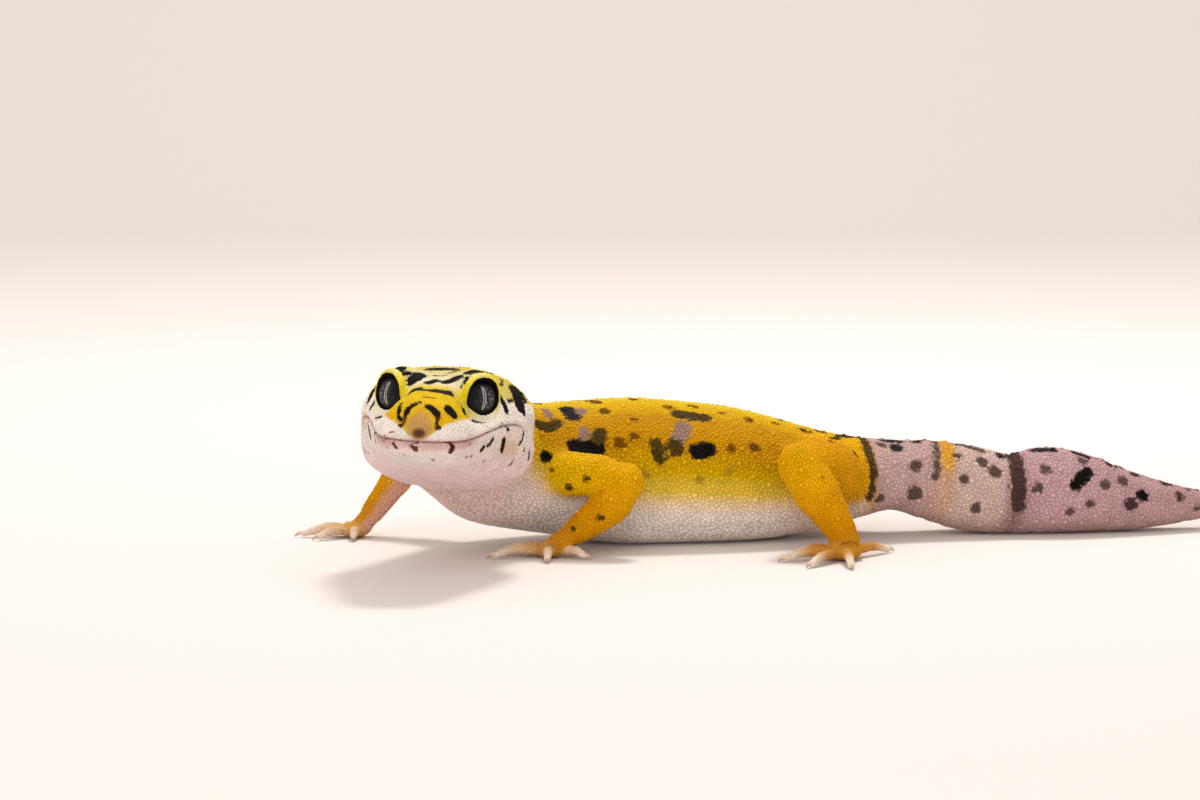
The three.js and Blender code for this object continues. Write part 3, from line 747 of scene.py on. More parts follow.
def limb_grid(joints, rows, columns, flatten=1.0, inset=SKIN_DEPTH, knuckles=None):
    """A tapered limb round a smooth line through its joints, round at both ends. knuckles gives
    the share of the radius to add along the limb, from 0 to 1."""
    joints = np.asarray(joints, float)
    fine = smooth_line(joints[:, :3], np.linspace(0, len(joints) - 1, 200))
    length = np.linalg.norm(np.diff(fine, axis=0), axis=1).sum()
    start, end = (min(0.4, joints[k, 3] / length) for k in (0, -1))
    share = np.concatenate([start * (1 - np.cos(np.linspace(0, math.pi / 2, 8))),
                            np.linspace(start, 1 - end, rows)[1:-1],
                            1 - end * (1 - np.sin(np.linspace(0, math.pi / 2, 8)))])
    at = share * (len(joints) - 1)
    centre = smooth_line(joints, at)
    along = direction_along(joints[:, :3], at)
    side = unit(np.cross(along, Z))
    lift = np.cross(side, along)
    radius = (centre[:, 3] - inset) * rounding(share, start) * rounding(1 - share, end)
    if knuckles is not None:
        radius *= 1 + knuckles(share)
    turn = full_turn(columns)
    ring = np.cos(turn)[None, :, None] * side[:, None] + flatten * np.sin(turn)[None, :, None] * lift[:, None]
    return centre[:, None, :3] + ring * radius[:, None, None]


def along_foot(pad, direction, distance, height, radius):
    """A joint on a ray from the middle of a foot, at a distance from it and a height."""
    turn = math.radians(direction)
    return [pad[0] + math.cos(turn) * distance, pad[1] + math.sin(turn) * distance, height, radius]


def toe_joints(pad, toe):
    """Three joints of a toe: in the pad, at its arch, and at its tip under the claw."""
    direction, reach = toe
    _, _, width, lift = pad
    return [along_foot(pad, direction, width * 0.45, lift * 0.8, TOE_RADIUS * 1.2),
            along_foot(pad, direction, width + (reach - width) * 0.45, TOE_ARCH, TOE_RADIUS),
            along_foot(pad, direction, reach - 0.2, TOE_TIP * 1.1, TOE_TIP)]


def toe_knuckles(share):
    """Three swollen joints along a toe."""
    return 0.06 * np.cos(2 * math.pi * (share - 0.3) / 0.24) * smooth_step(0.15, 0.3, share) - 0.03


def wrist_joints(leg):
    """The wrist or ankle: it starts inside the lower limb and ends in the pad."""
    pad = leg["pad"]
    inside = smooth_line(leg["lower"], 1.25) * [1, 1, 1, 0.9]
    bend = leg["lower"][-1][:3] + [pad[2] * 0.82]
    return [list(inside), bend, pad[:2] + [pad[3], pad[2] * 0.88]]


def elbow_ball(leg):
    """The centre and radius of the elbow or knee, between the ends of its two limbs."""
    ends = np.array([leg["upper"][-1], leg["lower"][0]])
    return ends[:, :3].mean(axis=0), ends[:, 3].min() * 0.97 - SKIN_DEPTH


def leg_pieces(leg):
    """The closed surfaces of a leg, from the shoulder or hip to the toes."""
    x, y, width, lift = pad = leg["pad"]
    pad_radii = np.array([width, width, lift]) - SKIN_DEPTH / 2
    elbow, elbow_radius = elbow_ball(leg)
    grids = [limb_grid(leg["upper"], 32, 50),
             limb_grid(leg["lower"], 32, 46),
             ball(elbow, elbow_radius, 30, 44),
             limb_grid(wrist_joints(leg), 18, 36, 0.9),
             ball([x, y, lift * 0.85], pad_radii, 20, 40)]
    grids += [limb_grid(toe_joints(pad, toe), 22, 20, 1.0, 0.04, toe_knuckles) for toe in leg["toes"]]
    return [new_object("limb", *capped_grid(grid)) for grid in grids]


combine(body, [piece for leg in LEGS.values() for piece in leg_pieces(leg)], "UNION")
print("with legs:", len(body.data.polygons), "faces", len(body.data.vertices), "vertices")

# %% [markdown]
# ## Smoothing the creases
# Where a leg joins the trunk, or a toe its pad, a real crease is soft. The joined surface could be
# remeshed, which would blur the lips and lids as well. So each vertex's distance to every piece
# is found, and only vertices close to two pieces are drawn towards their neighbours.

# %% Distance to each piece
LINE_SAMPLES = 40
NOT_NEAR = 1000.0  # the distance in mm that stands for anything far away


def from_line(points, joints, reach=4.0):
    """Distance outside a limb, in mm, and the share of its length, for points within reach."""
    joints = np.asarray(joints, float)
    line = smooth_line(joints, np.linspace(0, len(joints) - 1, LINE_SAMPLES))
    low = (line[:, :3] - line[:, 3:]).min(axis=0) - reach
    high = (line[:, :3] + line[:, 3:]).max(axis=0) + reach
    near = np.flatnonzero(((points > low) & (points < high)).all(axis=1))
    distance, share = np.full(len(points), NOT_NEAR), np.zeros(len(points))
    if len(near):
        gaps = np.linalg.norm(points[near, None] - line[:, :3], axis=2) - line[:, 3]
        distance[near] = gaps.min(axis=1)
        share[near] = gaps.argmin(axis=1) / (LINE_SAMPLES - 1)
    return distance, share


def leg_lines(leg):
    """The joints of a leg's pieces, with the piece's typical radius."""
    pad = leg["pad"]
    pad_joint = pad[:2] + [pad[3] * 0.9]
    elbow, elbow_radius = elbow_ball(leg)
    elbow_joint = list(elbow) + [elbow_radius]
    lines = [(leg["upper"], 3.0), (leg["lower"], 2.3), (wrist_joints(leg), 1.9),
             ([pad_joint + [pad[3]], pad_joint + [pad[3]]], 1.6), ([elbow_joint, elbow_joint], 2.3)]
    return lines + [(toe_joints(pad, toe), 0.5) for toe in leg["toes"]]


def crease_weights(points):
    """1 where two pieces meet, falling to 0 at a distance that grows with the smaller one."""
    pieces = [(on_body(points)[2], 8.0)]
    pieces += [(from_line(points, line)[0], size) for leg in LEGS.values() for line, size in leg_lines(leg)]
    distances = np.array([distance for distance, _ in pieces])
    sizes = np.array([size for _, size in pieces])
    owner = distances.argmin(axis=0)
    reach = 0.75 * np.minimum(sizes[:, None], sizes[owner][None, :])
    closeness = 1 - smooth_step(0, 1, distances / reach)
    closeness[owner, np.arange(len(points))] = 0
    return closeness.max(axis=0)


FLOOR_GAP = 0.05  # mm: the scales under the skin touch the floor
skin_points = points_of(body.data)
skin_points = relax(body.data, crease_weights(skin_points), rounds=40)
skin_points[:, 2] = np.maximum(skin_points[:, 2], FLOOR_GAP)
place_vertices(body.data, skin_points)
body.data.shade_smooth()
print("smoothed the creases of", len(skin_points), "vertices")

# %% [markdown]
# ## Eyes
# Each eye is a ball whose front shows an iris and a slit pupil. The pupil could be cut as a hole.
# At this size it reads as a mark, so the ball's grid is laid out round the eye's axis, and each
# vertex keeps its place in the iris, back and up from the axis in mm. The material draws the
# slit, the ring and the threads of the iris from those numbers.

# %% Eyes
def new_eye(name, side):
    """A ball on a grid of distance from the eye's axis and direction round it."""
    angle = np.concatenate([np.linspace(0, 1.0, 44), np.linspace(1.0, math.pi, 24)[1:]])[:, None]
    turn = full_turn(96)[None, :]
    arc = angle * EYE_RADIUS
    points = on_ball(side, turn + 0 * angle, arc + 0 * turn, np.zeros(1))
    vertices, quads, triangles = capped_grid(points)
    eye = new_object(name, vertices, quads, triangles)
    plane = np.stack([arc * np.cos(turn), arc * np.sin(turn), arc + 0 * turn], axis=-1)
    store(eye.data, "iris_place", "FLOAT_VECTOR", "vector", capped_grid(plane)[0])
    return eye


eyes = {name: new_eye("eyeball_" + name, side) for name, side in SIDES.items()}
print("eyes:", {name: len(eye.data.polygons) for name, eye in eyes.items()})

# %% [markdown]
# ## Claws
# Each toe ends in a small claw, pale at its root and dark at its tip. It is a cone that curves
# down to the floor.

# %% Claws
def claw_grid(pad, toe):
    """A tapered limb from inside the toe's tip, forward and down."""
    direction, reach = toe
    joints = [along_foot(pad, direction, reach - 0.75, 0.50, 0.24),
              along_foot(pad, direction, reach - 0.15, 0.60, 0.21),
              along_foot(pad, direction, reach + 0.35, 0.42, 0.13),
              along_foot(pad, direction, reach + 0.62, 0.14, 0.03)]
    return limb_grid(joints, 16, 14, 1.15, 0.0)


def joined_grids(name, grids):
    """One object from several closed grids, which keeps how far along its grid a vertex is."""
    parts = [capped_grid(grid) for grid in grids]
    offsets = np.cumsum([0] + [len(part[0]) for part in parts[:-1]])
    thing = new_object(name, np.vstack([part[0] for part in parts]),
                       np.vstack([part[1] + offset for part, offset in zip(parts, offsets)]),
                       np.vstack([part[2] + offset for part, offset in zip(parts, offsets)]))
    along = np.concatenate([np.linspace(0, 1, len(part[0])) for part in parts])
    store(thing.data, "along", "FLOAT", "value", along)
    return thing


claws = {name: joined_grids("claws_" + name, [claw_grid(leg["pad"], toe) for toe in leg["toes"]])
         for name, leg in LEGS.items()}
print("claws:", sum(len(leg["toes"]) for leg in LEGS.values()))

# %% [markdown]
# ## The pattern
# A leopard gecko is white below and yellow above, and its spots are what is left of the dark
# bands of a hatchling. The spots could be painted on an image. Here each one is a stroke: a line
# along the middle of the mark and the mark's half width. The distance from any place on the skin
# to the nearest stroke's edge says whether the place is dark, so the same numbers serve the skin
# and every scale on it, however closely it is looked at.

# %% Colours
def srgb(code):
    """A colour written as six hexadecimal digits, as linear values."""
    parts = np.array([int(code[i:i + 2], 16) for i in (1, 3, 5)]) / 255
    return np.where(parts <= 0.04045, parts / 12.92, ((parts + 0.055) / 1.055) ** 2.4)


INKS = {name: srgb(code) for name, code in {
    "ink": "#120c09", "slate": "#232023", "umber": "#4a2418", "rust": "#6b3a22", "olive": "#4a3a10",
    "brown": "#704800", "moss": "#b08a20", "lilac": "#98796a", "grey": "#5e4b44", "plum": "#4c3534",
    "blush": "#a07060",
}.items()}
print("inks:", ", ".join(INKS))

# %% Strokes
# for each stroke: colour, half width in mm, and its points as station and turn in degrees, where
# turn 0 is the animal's left side, 90 the middle of its back and 180 its right side
SNOUT_STROKES = [
    ("ink", 0.25, [(0.85, 119), (0.6, 125), (0.4, 131)]),
    ("ink", 0.33, [(0.82, 95), (0.7, 103), (0.48, 112), (0.42, 116)]),
    ("umber", 0.28, [(0.3, 121), (0.22, 130), (0.2, 137)]),
    ("ink", 0.43, [(0.65, 83), (0.56, 76), (0.5, 70), (0.45, 65)]),
    ("umber", 0.32, [(0.35, 60), (0.25, 54), (0.2, 44)]), ("ink", 0.69, [(0.8, 55), (0.76, 46)]),
    ("ink", 0.25, [(2.72, 50), (2.65, 44), (2.6, 38)]), ("rust", 0.15, [(1.38, 94), (1.33, 80)]),
]
CROWN_STROKES = [
    ("slate", 0.61, [(2.25, 112), (2.35, 107), (2.35, 102)]),
    ("slate", 0.30, [(2.2, 100), (2.2, 88)]),
    ("slate", 0.58, [(2.2, 88), (2.15, 84), (2.15, 77), (2.35, 71)]),
    ("ink", 0.64, [(3.15, 109), (3.4, 104), (3.65, 101)]),
    ("ink", 0.30, [(3.55, 110), (3.5, 114), (3.3, 117), (3.05, 118)]),
    ("ink", 0.58, [(3.0, 94), (3.3, 90)]), ("ink", 0.55, [(3.15, 83), (3.55, 76)]),
    ("ink", 0.23, [(4.0, 92), (4.05, 87)]), ("ink", 1.06, [(5.4, 96), (5.6, 88)]),
    ("ink", 0.23, [(4.5, 87), (5.3, 83)]), ("ink", 0.25, [(4.7, 99.5), (4.6, 96)]),
    ("ink", 0.53, [(4.5, 110), (5.0, 105)]), ("ink", 0.53, [(6.5, 101)]),
    ("ink", 0.69, [(4.0, 119), (3.8, 116)]), ("ink", 0.53, [(3.8, 70), (4.0, 66), (4.0, 62)]),
    ("ink", 0.27, [(3.45, 68), (3.3, 67), (3.1, 65.5)]), ("ink", 0.69, [(6.4, 74), (6.9, 68)]),
    ("ink", 0.61, [(6.9, 118), (6.4, 124)]), ("ink", 0.76, [(7.6, 92), (7.9, 84)]),
    ("olive", 0.69, [(8.6, 108), (8.9, 101)]), ("olive", 0.76, [(8.8, 70), (9.2, 76)]),
    ("olive", 0.69, [(8.2, 132)]),
]
CHEEK_STROKES = [
    ("ink", 0.54, [(3.7, 56), (3.85, 50), (4.05, 44), (4.2, 38), (4.3, 30), (4.3, 23)]),
    ("olive", 0.21, [(6.2, 56), (5.8, 52), (5.3, 49)]),
    ("ink", 1.05, [(5.9, 38), (5.6, 31), (5.4, 24)]), ("ink", 0.95, [(6.3, 40), (6.1, 31)]),
    ("ink", 0.35, [(5.45, 22), (5.5, 15.5)]), ("ink", 0.24, [(4.75, 31), (5.1, 31)]),
    ("ink", 0.42, [(6.8, 32), (7.0, 27)]), ("ink", 0.28, [(2.7, 21), (2.9, 17)]),
    ("ink", 0.22, [(3.2, 16.5)]), ("ink", 0.70, [(5.6, 147), (5.3, 152), (5.0, 156)]),
    ("ink", 0.22, [(3.95, 149)]), ("ink", 0.35, [(4.0, 156), (4.1, 163)]),
    ("ink", 0.31, [(2.95, 166)]), ("ink", 0.35, [(5.6, 174)]),
    ("ink", 0.56, [(6.9, 140), (7.2, 150)]),
]
JAW_STROKES = [
    ("umber", 0.31, [(0.35, -14), (0.45, -33)]),
    ("umber", 0.23, [(2.95, -1), (2.65, -7), (2.5, -8.5)]),
    ("ink", 0.31, [(2.25, -11), (2.1, -16)]), ("ink", 0.46, [(3.8, -1.5), (3.75, -9)]),
    ("ink", 0.31, [(4.05, 5.5)]), ("ink", 0.18, [(3.65, 9.5)]),
    ("ink", 0.21, [(5.25, 2.5), (5.25, -1.5), (5.0, -4.5)]), ("ink", 0.29, [(5.5, -9)]),
    ("slate", 0.23, [(6.1, -10), (6.2, -17)]),
    ("rust", 0.20, [(4.75, -20), (4.8, -24), (4.7, -28)]), ("ink", 0.18, [(2.8, -30)]),
    ("rust", 0.20, [(1.65, -28)]), ("blush", 0.17, [(1.4, -33)]), ("blush", 0.15, [(4.1, -37)]),
    ("blush", 0.17, [(5.8, -27)]), ("blush", 0.14, [(1.0, 3)]), ("blush", 0.14, [(1.1, -8)]),
    ("ink", 0.31, [(3.75, 177), (3.4, 181), (3.05, 186)]), ("ink", 0.23, [(1.7, 182), (1.8, 193)]),
    ("blush", 0.16, [(0.25, 166), (0.3, 172)]), ("blush", 0.15, [(0.45, 181), (0.5, 191)]),
    ("blush", 0.15, [(0.5, 208)]), ("rust", 0.20, [(0.22, 200), (0.26, 215)]),
    ("rust", 0.16, [(1.1, 209)]), ("ink", 0.25, [(4.9, 196), (4.9, 200)]),
    ("ink", 0.16, [(4.3, 202)]), ("grey", 0.23, [(5.5, 208)]),
    ("rust", 0.32, [(0.02, -110), (0.1, -97)]), ("blush", 0.17, [(0.35, -117)]),
    ("blush", 0.21, [(0.5, -72)]),
]
TRUNK_STROKES = [
    ("ink", 0.74, [(11.25, 12)]), ("olive", 0.81, [(11.1, 42), (11.5, 42), (11.9, 50)]),
    ("lilac", 0.67, [(11.75, 60), (11.8, 68)]), ("slate", 1.01, [(12.55, 70), (12.6, 60)]),
    ("lilac", 0.81, [(12.85, 66)]), ("ink", 1.08, [(12.35, 28), (12.65, 27), (13.0, 27)]),
    ("lilac", 0.60, [(12.65, 36), (12.75, 43)]), ("olive", 0.81, [(13.0, 30), (13.15, 40)]),
    ("moss", 0.40, [(12.1, 10)]), ("brown", 0.67, [(13.4, 64)]), ("brown", 0.81, [(13.6, 31)]),
    ("brown", 0.43, [(13.95, 53)]), ("brown", 0.56, [(13.9, 37)]),
    ("olive", 0.74, [(14.35, 32), (14.4, 20)]), ("olive", 0.81, [(14.75, 33), (14.75, 26)]),
    ("lilac", 1.01, [(14.95, 48), (14.85, 38)]), ("olive", 0.94, [(14.9, 62), (15.4, 60)]),
    ("brown", 0.67, [(14.75, 71)]), ("ink", 1.08, [(15.2, 27), (15.4, 29)]),
    ("brown", 0.67, [(15.25, 77)]), ("brown", 0.47, [(15.8, 70)]), ("brown", 0.60, [(15.9, 32)]),
    ("moss", 0.56, [(15.85, 14)]), ("brown", 0.67, [(16.35, 66)]), ("brown", 0.74, [(16.4, 35)]),
    ("moss", 0.56, [(15.25, 6)]), ("moss", 0.54, [(14.1, 8)]), ("brown", 0.47, [(16.95, 72)]),
    ("olive", 0.67, [(17.7, 73)]), ("brown", 0.80, [(17.9, 38), (18.15, 42)]),
    ("olive", 0.47, [(18.45, 68), (18.55, 74)]),
]
TAIL_STROKES = [
    ("olive", 0.55, [(19.15, -18), (19.25, 20), (19.2, 55), (19.2, 90), (19.25, 125), (19.2, 160)]),
    ("slate", 0.86, [(19.95, 60)]), ("grey", 0.86, [(20.4, 27)]), ("grey", 1.00, [(20.45, -15)]),
    ("grey", 0.65, [(19.65, 66)]), ("grey", 0.65, [(19.45, -25)]),
    ("grey", 0.44, [(20.95, 14), (20.95, 60), (20.98, 90), (20.95, 130), (20.98, 165)]),
    ("grey", 0.65, [(21.65, 17)]), ("grey", 0.86, [(22.1, 48)]), ("grey", 0.86, [(22.4, 37)]),
    ("grey", 0.58, [(21.45, 50)]), ("grey", 0.72, [(22.1, -18)]),
    ("plum", 0.88, [(23.1, -5), (23.1, 30), (23.12, 60), (23.1, 90), (23.08, 130), (23.1, 178)]),
    ("grey", 0.76, [(23.85, 40)]), ("grey", 0.72, [(23.6, 17)]),
    ("ink", 0.79, [(24.8, 42), (24.5, 20)]), ("grey", 0.72, [(25.25, 28)]),
    ("grey", 0.79, [(25.7, 43)]), ("plum", 0.93, [(25.95, 5)]), ("ink", 0.86, [(26.25, 23)]),
    ("plum", 0.72, [(27.25, 32)]), ("grey", 0.60, [(24.9, -2)]), ("grey", 0.60, [(24.4, -15)]),
    ("grey", 0.65, [(24.7, 60)]), ("slate", 0.72, [(19.75, 84), (20.05, 80)]),
    ("slate", 0.72, [(20.5, 80)]), ("grey", 0.65, [(21.8, 80), (22.1, 75)]),
    ("slate", 0.65, [(22.6, 72)]), ("slate", 0.72, [(23.75, 82), (24.05, 78)]),
    ("slate", 0.65, [(24.6, 80), (24.85, 76)]), ("slate", 0.60, [(25.4, 75)]),
    ("slate", 0.60, [(26.1, 73)]), ("slate", 0.55, [(26.9, 70)]),
]
print("strokes:", sum(map(len, [SNOUT_STROKES, CROWN_STROKES, CHEEK_STROKES, JAW_STROKES,
                                TRUNK_STROKES, TAIL_STROKES])))

# %% [markdown]
# ## Spots on the far side
# The far flank, the middle of the back and the end of the tail carry the same kind of spots in
# other places. They could be mirrored, but a mirrored pattern is soon noticed. They are
# scattered: points are drawn at random over the flank unrolled in mm, and a point is kept if no
# earlier one is too near to it.

# %% Scattered spots
SEED = 11
SPOT_TRIES = 240
rng = np.random.default_rng(SEED)


def scattered_strokes(first, last, turns, gap, inks, sizes):
    """Spots between two stations and two turns, no closer to each other than the gap in mm."""
    at, turn = rng.uniform(first, last, SPOT_TRIES), rng.uniform(*turns, SPOT_TRIES)
    place = body_surface(at, np.radians(turn))
    apart = np.linalg.norm(place[:, None] - place, axis=2)
    kept = []
    for number in range(len(at)):
        if (apart[number, kept] > gap).all():
            kept.append(number)
    size = rng.uniform(*sizes, len(kept))
    reach = rng.uniform(-1, 1, (len(kept), 2)) * [0.11, 6.0]
    kinds = rng.choice(inks, len(kept))
    return [(kind, wide, [(at[n] - along, turn[n] - across), (at[n] + along, turn[n] + across)])
            for kind, wide, (along, across), n in zip(kinds, size, reach, kept)]


WARM_INKS = ["ink", "olive", "olive", "brown", "lilac"]
TAIL_INKS = ["ink", "slate", "grey", "plum"]
HIDDEN_REGIONS = [  # first and last station, turns, gap, inks, half widths
    (9.6, 18.8, (84, 190), 3.1, WARM_INKS, (0.4, 0.8)),
    (19.5, 20.8, (84, 200), 2.6, TAIL_INKS, (0.4, 0.7)),
    (21.5, 22.7, (75, 200), 2.6, TAIL_INKS, (0.35, 0.6)),
    (23.6, 28.4, (75, 200), 2.3, TAIL_INKS, (0.35, 0.65)),
    (27.6, 30.6, (-20, 200), 1.9, TAIL_INKS, (0.2, 0.4)),
    (7.2, 9.0, (140, 196), 2.6, ["ink", "olive"], (0.3, 0.5)),
]
HIDDEN_STROKES = [stroke for region in HIDDEN_REGIONS for stroke in scattered_strokes(*region)]
print("scattered spots:", len(HIDDEN_STROKES))

# %% Distance to the strokes
LEG_SPOTS = [  # leg, part, share of the part's length, direction of the limb's side, half width
    ("fore_left", "upper", 0.55, -30, 0.58), ("fore_left", "upper", 0.70, 0, 0.45),
    ("fore_left", "upper", 0.85, -35, 0.42), ("fore_left", "upper", 0.40, 20, 0.40),
    ("fore_left", "lower", 0.55, -5, 0.58), ("fore_left", "lower", 0.85, 20, 0.45),
    ("fore_right", "upper", 0.45, 60, 0.40),
    ("fore_right", "lower", 0.35, 40, 0.30), ("hind_left", "upper", 0.30, 40, 0.62),
    ("hind_left", "upper", 0.62, 70, 0.45), ("hind_left", "lower", 0.25, 60, 0.35),
    ("hind_right", "upper", 0.35, 50, 0.55), ("hind_right", "upper", 0.75, 80, 0.50),
    ("hind_right", "lower", 0.35, 60, 0.40),
]


def leg_spot(leg, part, share, turn):
    """A point on a limb: along its line by a share, and round it by a turn from its outer side."""
    joints = np.array(LEGS[leg][part])
    place = smooth_line(joints, share * (len(joints) - 1))
    along = unit(smooth_line(joints[:, :3], share * (len(joints) - 1) + 0.02) - place[:3])
    lift = unit(Z - along * along[2])
    outer = np.cross(along, lift)
    away = place[:3] - body_frame(on_body(place[None, :3])[0])[0][0]
    outer *= np.sign(outer @ away)
    angle = math.radians(turn)
    return place[:3] + place[3] * (math.cos(angle) * outer + math.sin(angle) * lift)


def stroke_line(points):
    """A stroke's points on the body, with more between them so that it stays on the surface."""
    points = np.array(points, float)
    steps = np.abs(np.diff(points, axis=0)) / [0.3, 8.0]
    number = np.concatenate([[0], np.cumsum(np.maximum(np.ceil(steps.max(axis=1, initial=0)), 1))])
    fine = np.arange(number[-1] + 1)
    at, turn = np.interp(fine, number, points[:, 0]), np.interp(fine, number, points[:, 1])
    return body_surface(at, np.radians(turn))


STROKES = [(ink, wide, stroke_line(points)) for ink, wide, points in
           SNOUT_STROKES + CROWN_STROKES + CHEEK_STROKES + JAW_STROKES + TRUNK_STROKES
           + TAIL_STROKES + HIDDEN_STROKES]
STROKES_ON_LEGS = [("brown" if leg != "fore_left" else "olive", wide, leg_spot(leg, part, share, turn)[None])
                   for leg, part, share, turn, wide in LEG_SPOTS]
FAR = 3.0  # mm: farther from a mark than this, its distance doesn't matter


def mark_of(points, strokes):
    """For points, the distance outside the nearest stroke's edge in mm and that stroke's colour."""
    edge = np.full(len(points), FAR)
    colour = np.tile(INKS["olive"], (len(points), 1))
    for ink, wide, line in strokes:
        low, high = line.min(axis=0) - wide - 1.0, line.max(axis=0) + wide + 1.0
        near = np.flatnonzero(((points > low) & (points < high)).all(axis=1))
        if not len(near):
            continue
        start, step = line[:-1], np.diff(line, axis=0)
        if len(line) == 1:
            start, step = line, np.array([[1e-4, 0.0, 0.0]])
        offset = points[near, None] - start
        share = np.clip((offset * step).sum(axis=2) / (step**2).sum(axis=1), 0, 1)
        distance = np.linalg.norm(offset - share[..., None] * step, axis=2).min(axis=1) - wide
        closer = distance < edge[near]
        edge[near[closer]] = distance[closer]
        colour[near[closer]] = INKS[ink]
    return edge, colour


print("marks:", len(STROKES), "on the body and", len(STROKES_ON_LEGS), "on the legs")

# %% [markdown]
# ## The ground colours
# Between the spots the skin changes slowly: white on the lips, pink on the throat, yellow on the
# snout and back, orange on the flanks, and pink and lilac on the tail. These are short ramps: a
# few colours, each at its place along the body or round it, mixed in between. They are laid over
# each other with soft masks, as an airbrush would.

# %% Ramps and masks
def ramp(value, stops):
    """The colour at a value, mixed in a straight line between the stops beside it."""
    colours = np.array([srgb(code) for _, code in stops])
    places = [place for place, _ in stops]
    return np.stack([np.interp(value, places, colours[:, k]) for k in range(3)], axis=-1)


def lay(under, over, amount):
    """One colour laid over another by an amount from 0 to 1."""
    return under + (over - under) * np.clip(amount, 0, 1)[:, None]


FLANK_RAMP = [(-90, "#f4e6de"), (-30, "#f4e4d8"), (-20, "#eedccc"), (-11, "#eed0a4"), (-3, "#e4c044"),
              (10, "#d2a800"), (30, "#c48a00"), (55, "#cc9200"), (70, "#dcac04"), (80, "#e4bc1c"),
              (90, "#e6c440")]
NECK_RAMP = [(-90, "#f0cec6"), (-30, "#f0d4ca"), (-10, "#f0d6c0"), (4, "#e0b030"), (30, "#d8a800"),
             (65, "#d8ac04"), (80, "#dcbc38"), (90, "#dac468")]
HIP_RAMP = [(-90, "#e6ccc0"), (-34, "#e2c4b0"), (-16, "#daa440"), (14, "#dca000"), (60, "#e4a800"),
            (90, "#e0ac10")]
TAIL_RAMP = [(19.15, "#d09020"), (19.45, "#c4a39c"), (20.7, "#c4a09c"), (20.98, "#bc9a90"),
             (21.06, "#dc9c28"), (21.34, "#dc9e34"), (21.46, "#ceb2a2"), (22.7, "#ccaea4"),
             (23.0, "#8a6464"), (23.3, "#b48e90"), (23.6, "#c49ca0"), (26.5, "#bc9696"),
             (29.0, "#bc938e"), (31.0, "#b8908a")]
LEG_RAMP = [(0.0, "#ecc400"), (0.8, "#e4ac00"), (1.3, "#dc9c00"), (1.8, "#d08a00"), (2.15, "#c88824"),
            (2.35, "#d8a868"), (2.7, "#e8c8a8"), (3.0, "#f2e2d0")]
LID_RAMP = [(-180, "#e8cc10"), (-135, "#f0e080"), (-95, "#fbf0dc"), (-55, "#faecc8"), (-20, "#f0dc40"),
            (10, "#ecd420"), (60, "#fae440"), (95, "#fbe890"), (135, "#f8e040"), (180, "#e8cc10")]


# stations, and the degrees above the side at which the yellow of the head ends
YELLOW_BORDER = ([0.35, 0.5, 0.75, 1.0, 1.5, 2.5, 3.2, 4.2, 4.8, 6.2, 7.5],
                 [37, 33, 31, 29, 27, 25, 36, 40, 30, 24, 18])


def around(turn):
    """Degrees above the side of the body: 90 on the back, 0 on either flank, -90 on the belly."""
    return np.degrees(np.arcsin(np.clip(np.sin(turn), -1, 1)))


def head_ground(place, at, high):
    """The head's colour from its places (ahead, left, above), its stations and degrees."""
    ahead, left, above = place.T
    side = np.abs(left)
    white = ramp(above, [(-10.0, "#f4d6d2"), (-8.0, "#f6dad6"), (-6.6, "#f4dcd6"), (-5.0, "#f2dfd6"),
                         (-3.4, "#f2e2d6"), (-1.0, "#f5e8dc"), (1.0, "#f3e6c8")])
    yellow = ramp(ahead, [(-9.0, "#d8bc48"), (-4.0, "#d6c05c"), (0.0, "#dccc84"), (2.6, "#e2cf8a"),
                          (4.2, "#e2c01c"), (8.0, "#e4bc08"), (10.5, "#e0b010")])
    # the pale band over the forehead, between the eyes
    yellow = lay(yellow, srgb("#efe0c4"), bump(ahead, 2.2, 1.5) * (1 - smooth_step(2.2, 3.6, side)) * 0.9)
    yellow = lay(yellow, srgb("#ebdcb8"), bump(ahead, -1.4, 1.6) * (1 - smooth_step(1.8, 4.4, side)) * 0.6)
    border = np.interp(at, *YELLOW_BORDER)
    colour = lay(white, yellow, smooth_step(-2.5, 2.5, high - border))
    # the nose, tan down to the lip and dark at its tip, and the pink front of the lips
    snout = smooth_step(8.0, 9.5, ahead)
    muzzle = np.hypot(left / 1.45, (above + 2.35) / 1.55)
    colour = lay(colour, srgb("#c2935c"), (1 - smooth_step(0.7, 1.25, muzzle)) * snout * 0.85)
    nose = np.hypot(left / 0.85, (above + 3.05) / 0.62)
    colour = lay(colour, srgb("#4b2820"), (1 - smooth_step(0.45, 1.25, nose)) * snout * 0.92)
    lip = above - mouth_level(ahead)
    front = smooth_step(6.0, 9.5, ahead)
    colour = lay(colour, srgb("#cf9a92"), bump(lip, -0.35, 0.55) * front * 0.75)
    colour = lay(colour, srgb("#b9857c"), bump(lip, 0.0, 0.16) * smooth_step(-4.5, -2.0, ahead) * 0.7)
    chin = bump(lip, -2.7, 0.9) * smooth_step(7.0, 9.0, ahead)
    colour = lay(colour, srgb("#f6e8e0"), chin * 0.7)
    # stains on the cheek behind the corner of the mouth
    for spot_at, spot_turn, size in ((3.85, -5.5, 1.1), (4.5, -8.0, 1.0), (4.7, 176.0, 1.0)):
        gap = np.linalg.norm(place - to_head(body_surface(spot_at, math.radians(spot_turn))), axis=1)
        colour = lay(colour, srgb("#d8a24a"), np.exp(-((gap / size) ** 2)) * 0.62)
    return colour


